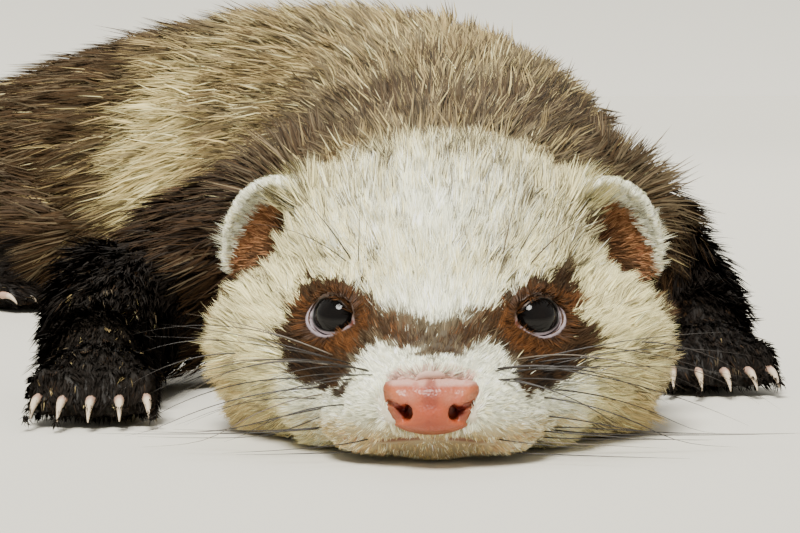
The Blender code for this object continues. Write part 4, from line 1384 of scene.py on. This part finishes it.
def make_lid(name, side, surface):
    """The lids: a black edge on the eyeball, a moist rim, and skin that runs into the head's."""
    steps = len(LID_SECTION)
    deselect()
    bpy.ops.mesh.primitive_torus_add(
        major_segments=LID_TURNS, minor_segments=steps, major_radius=0.004, minor_radius=0.0005
    )
    lid = bpy.context.object
    lid.name = name
    angle = np.repeat(np.arange(LID_TURNS) * 2 * np.pi / LID_TURNS, steps)
    out, high, over_skin = np.tile(LID_SECTION, (LID_TURNS, 1)).T
    places, upward = lid_places(side, angle, out, high, over_skin, surface)
    place_in_eye(lid, places, side)
    mottled = 1 + 0.18 * ripple(places, 0.0009, 41)
    rim = tinted(
        all_of(len(out), "lid_low"), ("lid_high", smooth_step(-0.20, 0.30, upward)),
        ("lid_corner", smooth_step(0.86, 0.99, np.cos(angle))),
    )
    colours = mix(all_of(len(out), "lid_edge"), rim * mottled[:, None], smooth_step(0.10, 0.30, out))
    paint(lid, tinted(colours, ("lid_outside", smooth_step(0.95, 1.25, out))), LID)
    finish_piece(lid, "nose_leather")


# Nose

def widen_pad(head):
    """Brings the pad to its own width at each height, and swells it a little behind its front."""
    bands = np.linspace(head[:, 2].min(), head[:, 2].max(), 22)
    belongs = np.digitize(head[:, 2], bands)
    reach = np.array([np.abs(head[belongs == band, 0]).max(initial=1.0) for band in range(1, 22)])
    middles = (bands[1:] + bands[:-1]) / 2
    wanted = np.interp(middles, NOSE_LEVELS, NOSE_WIDTHS)
    head[:, 0] *= np.interp(head[:, 2], middles, np.clip(wanted / reach, 0.80, 1.30))
    behind = 0.10 * smooth_step(0.9, 2.2, head[:, 1])
    head[:, 0] *= 1 + behind
    head[:, 2] += (head[:, 2] - NOSE_MIDDLE_LEVEL) * behind


def make_nose():
    """The pad of the nose, rounded off from its solid, with its nostrils and the slit beside each."""
    deselect()
    nose = new_object("nose_pad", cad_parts["nose"].data.copy())
    nose.data.materials.clear()
    activate(nose)
    edit_all(bpy.ops.mesh.remove_doubles, threshold=DOUBLES)
    add_modifier(nose, "REMESH", mode="VOXEL", voxel_size=NOSE_CELL)
    add_modifier(nose, "SMOOTH", factor=0.5, iterations=10)
    bpy.ops.object.shade_smooth()
    head = to_head(coordinates(nose.data)) / MM
    widen_pad(head)
    folded = both_sides(head)
    front = smooth_step(3.2, 1.6, folded[:, 1])
    hole = spot(folded, NOSTRIL, (0.80, 0.70))
    slit = near_stroke(folded[:, [0, 2]], NOSTRIL_SLIT, 0.36)
    wing = spot(folded, (4.9, 10.2), (1.2, 1.1))
    cleft = bell(folded[:, 0], 0.32) * smooth_step(7.4, 5.6, folded[:, 2])
    head[:, 1] += (0.55 * hole + 0.62 * slit - 0.25 * wing + 0.28 * cleft) * front
    set_coordinates(nose.data, from_head(head * MM))

    aside, back, up = folded.T
    side_edge = smooth_step(0.86, 1.0, aside / np.interp(up, NOSE_LEVELS, NOSE_WIDTHS))
    paint(nose, tinted(
        all_of(len(head), "pad"),
        ("pad_middle", 0.70 * bell(aside, 1.9)),
        ("pad_wing", 0.7 * wing),
        ("pink", 0.8 * smooth_step(11.0, 11.6, up) * smooth_step(-0.9, 0.1, back)),
        ("pad_streak", 0.75 * near_stroke(folded[:, [0, 2]], NOSE_STREAK, 0.75) * front),
        # painted highlight: a pale pink patch high on each side of the pad
        ("pad_highlight", 0.45 * spot(folded, (2.6, 9.9), (1.3, 0.9))),
        ("pad_blotch", 0.40 * smooth_step(0.5, 1.2, ripple(head * MM, 0.0022, 51))),
        # painted shade: the nostrils and their slits are laid dark red, darker still further into each hole
        ("nostril_shade", np.clip(1.25 * hole + 0.75 * slit, 0, 1) * smooth_step(-1.4, 0.2, back)),
        ("nostril_deep_shade", hole * smooth_step(0.2, 1.6, back)),
        ("pad_edge", np.maximum(0.75 * smooth_step(6.0, 5.1, up), 0.55 * side_edge * front)),
    ), NOSE)
    finish_piece(nose, "nose_leather", "nose")


# Claws and whiskers

def tube_faces(tubes, steps, sides):
    """The faces of tubes whose points run ring by ring, each closed at both ends."""
    faces = []
    for tube in range(tubes):
        start = tube * steps * sides
        last = start + (steps - 1) * sides
        for row in range(start, last, sides):
            for k in range(sides):
                after = (k + 1) % sides
                faces.append((row + k, row + k + sides, row + after + sides, row + after))
        faces.append(tuple(start + k for k in range(sides)))
        faces.append(tuple(last + k for k in reversed(range(sides))))
    return faces


def make_tubes(name, paths, radii, sides, colours, material, slot):
    """One piece made of many thin tapered tubes; paths is tubes by points by three."""
    ahead = unit(np.gradient(paths, axis=1))
    up = np.where(np.abs(ahead[..., 2:]) > 0.9, np.array((1.0, 0, 0)), np.array((0, 0, 1.0)))
    across = unit(np.cross(ahead, up))
    over = np.cross(across, ahead)
    angle = np.arange(sides) * 2 * np.pi / sides
    ring = (across[:, :, None] * np.cos(angle)[:, None] + over[:, :, None] * np.sin(angle)[:, None])
    points = paths[:, :, None] + ring * radii[:, :, None, None]
    points[..., 2] = np.maximum(points[..., 2], FLOOR_CLEARANCE)
    mesh = bpy.data.meshes.new(name)
    mesh.from_pydata(points.reshape(-1, 3).tolist(), [], tube_faces(*paths.shape[:2], sides))
    made = new_object(name, mesh)
    face_outwards(made)
    paint(made, np.repeat(colours.reshape(-1, 3), sides, axis=0), material)
    finish_piece(made, slot)


def claw_paths(wrist, palm, turn_out, claw_length, palm_size):
    """The line of each claw of a paw: out of the toe's tip, then down to the floor."""
    forward = Vector((palm[0] - wrist[0], palm[1] - wrist[1], 0)).normalized()
    forward.rotate(Matrix.Rotation(turn_out, 3, "Z"))
    across = forward.cross(Vector((0, 0, 1)))
    width, length = palm_size
    base = ORIGIN + Vector((palm[0], palm[1], 0))
    paths = []
    for toe in range(-2, 3):
        heading = (forward + across * (0.07 * toe)).normalized()
        here = base + across * (width * 0.39 * toe) + heading * (length * (1.42 - 0.085 * toe * toe))
        here.z = CLAW_LEVEL
        here = here - heading * 0.0004
        line = []
        for step in range(CLAW_STEPS + 1):
            line.append(tuple(here))
            dive = math.radians(-8 + 64 * (step / CLAW_STEPS))
            here = here + (heading * math.cos(dive) - Vector((0, 0, math.sin(dive)))) * (
                claw_length * 1.02 / CLAW_STEPS)
        paths.append(line)
    return paths


def make_claws():
    """Five curved claws on each paw, pinker at their roots."""
    paths = []
    for side, joints in FORELEGS.items():
        paths += claw_paths(joints[2], joints[3], FORE_TURN_OUT[side], FORE_CLAW, FORE_PALM)
    for sign in HIND_SIDES.values():
        heel, palm = hind_joints(RUMP, sign)[2:]
        paths += claw_paths(heel, palm, HIND_TURN_OUT * sign, HIND_CLAW, HIND_PALM)
    paths = np.array(paths)
    share = np.linspace(0, 1, paths.shape[1])
    radii = np.tile(CLAW_RADIUS * (1 - 0.9 * share**1.5), (len(paths), 1))
    lowest = (paths[..., 2] - radii).min(axis=1)
    paths[..., 2] += np.maximum(0, FLOOR_CLEARANCE - lowest)[:, None] * share
    colours = np.empty(paths.shape)
    colours[:] = TINTS["claw"]
    colours[:, :4] = TINTS["claw_root"]
    make_tubes("claws", paths, radii, 10, colours, CLAW, "nose_leather")


def whisker_lines():
    """Where each whisker starts on the head, the way it sets off, and its length."""
    rows = []
    for side in (-1, 1):
        for row, height in enumerate(WHISKER_LEVELS):
            for place in range(6):
                start = (0.0078 + 0.0012 * place, 0.0080 + 0.0022 * place, height)
                heading = (1.0, -0.42 + 0.11 * place, 0.34 - 0.17 * row)
                rows.append((side, start, heading, 0.0165 + 0.0022 * place))
        for place in range(3):
            start = (0.0100 + 0.0012 * place, 0.0270, 0.0262)
            rows.append((side, start, (0.1 + 0.35 * place, -0.1, 0.9), 0.010 + 0.002 * place))
        for place in range(2):
            rows.append((side, (0.0250, 0.0320 + 0.003 * place, 0.0130), (1.0, -0.1, 0.15), 0.015))
    return rows


def whisker_path(root, way, length):
    """The line of a whisker: it droops, bends back and levels out above the floor."""
    here = root - way * 0.0006
    droop = draw.uniform(0.3, 1.0)
    back = draw.uniform(0.0, 0.5)
    line = []
    for _ in range(WHISKER_STEPS):
        line.append(tuple(here))
        way = (way + Vector((0, back, -droop)) * (1.0 / WHISKER_STEPS)).normalized()
        room = (here.z - 0.0009) / 0.0045
        if way.z < 0 and room < 1:
            way.z *= max(room, 0.0)
        here = here + way.normalized() * (length / WHISKER_STEPS)
        here.z = max(here.z, 0.0006)
    return line


def make_whiskers(surface):
    """The whiskers of the muzzle, the brows and the cheeks, dark but for a few."""
    paths, radii, colours = [], [], []
    for side, start, heading, length in whisker_lines():
        wander = draw.normal(0, 0.0005, 3)
        start = head_point(mirrored(Vector(start) + Vector(wander), side))
        way = HEAD_TURN @ mirrored(Vector(heading) + Vector(draw.normal(0, 0.09, 3)), side)
        way.normalize()
        length = length * draw.uniform(0.9, 1.5)
        paths.append(whisker_path(surface.find_nearest(start)[0], way, length))
        thick = draw.uniform(*WHISKER_RADII) * MM
        radii.append(thick * (1 - 0.93 * np.linspace(0, 1, WHISKER_STEPS) ** 1.1))
        tint = "whisker_pale" if draw.uniform() < PALE_WHISKERS else "whisker"
        colours.append(all_of(WHISKER_STEPS, tint))
    make_tubes("whiskers", np.array(paths), np.array(radii), 5, np.array(colours), WHISKER, "coat_black")


# The stage

def make_floor():
    deselect()
    bpy.ops.mesh.primitive_plane_add(size=FLOOR_SIZE)
    floor = bpy.context.object
    floor.name = "floor"
    made, tree, shader = new_material("pale_floor", 0.80, Base_Color=FLOOR_COLOUR)
    add_relief(tree, shader, "Noise", 400, 0.10, 0.0003)
    floor.data.materials.append(made)


def make_sky():
    """A sky that is as bright as the floor at its foot, and dimmer above."""
    world = bpy.data.worlds.new("studio")
    world.use_nodes = True
    tree = world.node_tree
    place = tree.nodes.new("ShaderNodeTexCoord")
    split = tree.nodes.new("ShaderNodeSeparateXYZ")
    shades = tree.nodes.new("ShaderNodeValToRGB")
    shades.color_ramp.elements[0].color = (*SKY_FOOT, 1)
    shades.color_ramp.elements[1].position = SKY_TOP_FROM
    shades.color_ramp.elements[1].color = (*SKY_TOP, 1)
    tree.links.new(place.outputs["Generated"], split.inputs["Vector"])
    tree.links.new(split.outputs["Z"], shades.inputs["Fac"])
    tree.links.new(shades.outputs["Color"], tree.nodes["Background"].inputs["Color"])
    bpy.context.scene.world = world


def make_lamps():
    """A broad soft light from high in front, and a weak one from behind."""
    target = ORIGIN + Vector(LAMP_TARGET)
    for name, kind, place, size, power, colour in LAMPS:
        data = bpy.data.lights.new(name, kind)
        if kind == "SUN":
            data.angle = size
        else:
            data.shape = "DISK"
            data.size = size
        data.energy = power
        data.color = colour
        lamp = new_object(name, data)
        lamp.location = ORIGIN + Vector(place)
        lamp.rotation_euler = (lamp.location - target).to_track_quat("Z", "Y").to_euler()


def make_camera():
    """The photograph's view: low, close to the floor, looking slightly down at the face."""
    low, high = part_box("nose")
    data = bpy.data.cameras.new("camera")
    data.sensor_width = 36
    data.lens = CAMERA_LENS
    data.clip_start = 0.01
    camera = new_object("camera", data)
    camera.location = ((low.x + high.x) / 2 - CAMERA_ASIDE, low.y - FACE_DISTANCE, FACE_HEIGHT)
    camera.rotation_euler = (math.radians(90 - CAMERA_DIP), 0, 0)
    bpy.context.scene.camera = camera


make_camera()
make_floor()
make_sky()
make_lamps()
skin_piece = prepare_skin()
paint_skin(skin_piece)
finish_piece(skin_piece, "coat_cream", *FLESH)
make_nose()
skin_surface = tree_of_piece(skin_piece)
for side_name, side in SIDES.items():
    make_eye("eyeball_" + side_name, side)
    make_lid("lids_" + side_name, side, skin_surface)
make_claws()
make_whiskers(skin_surface)
dress_in_coat(skin_piece)
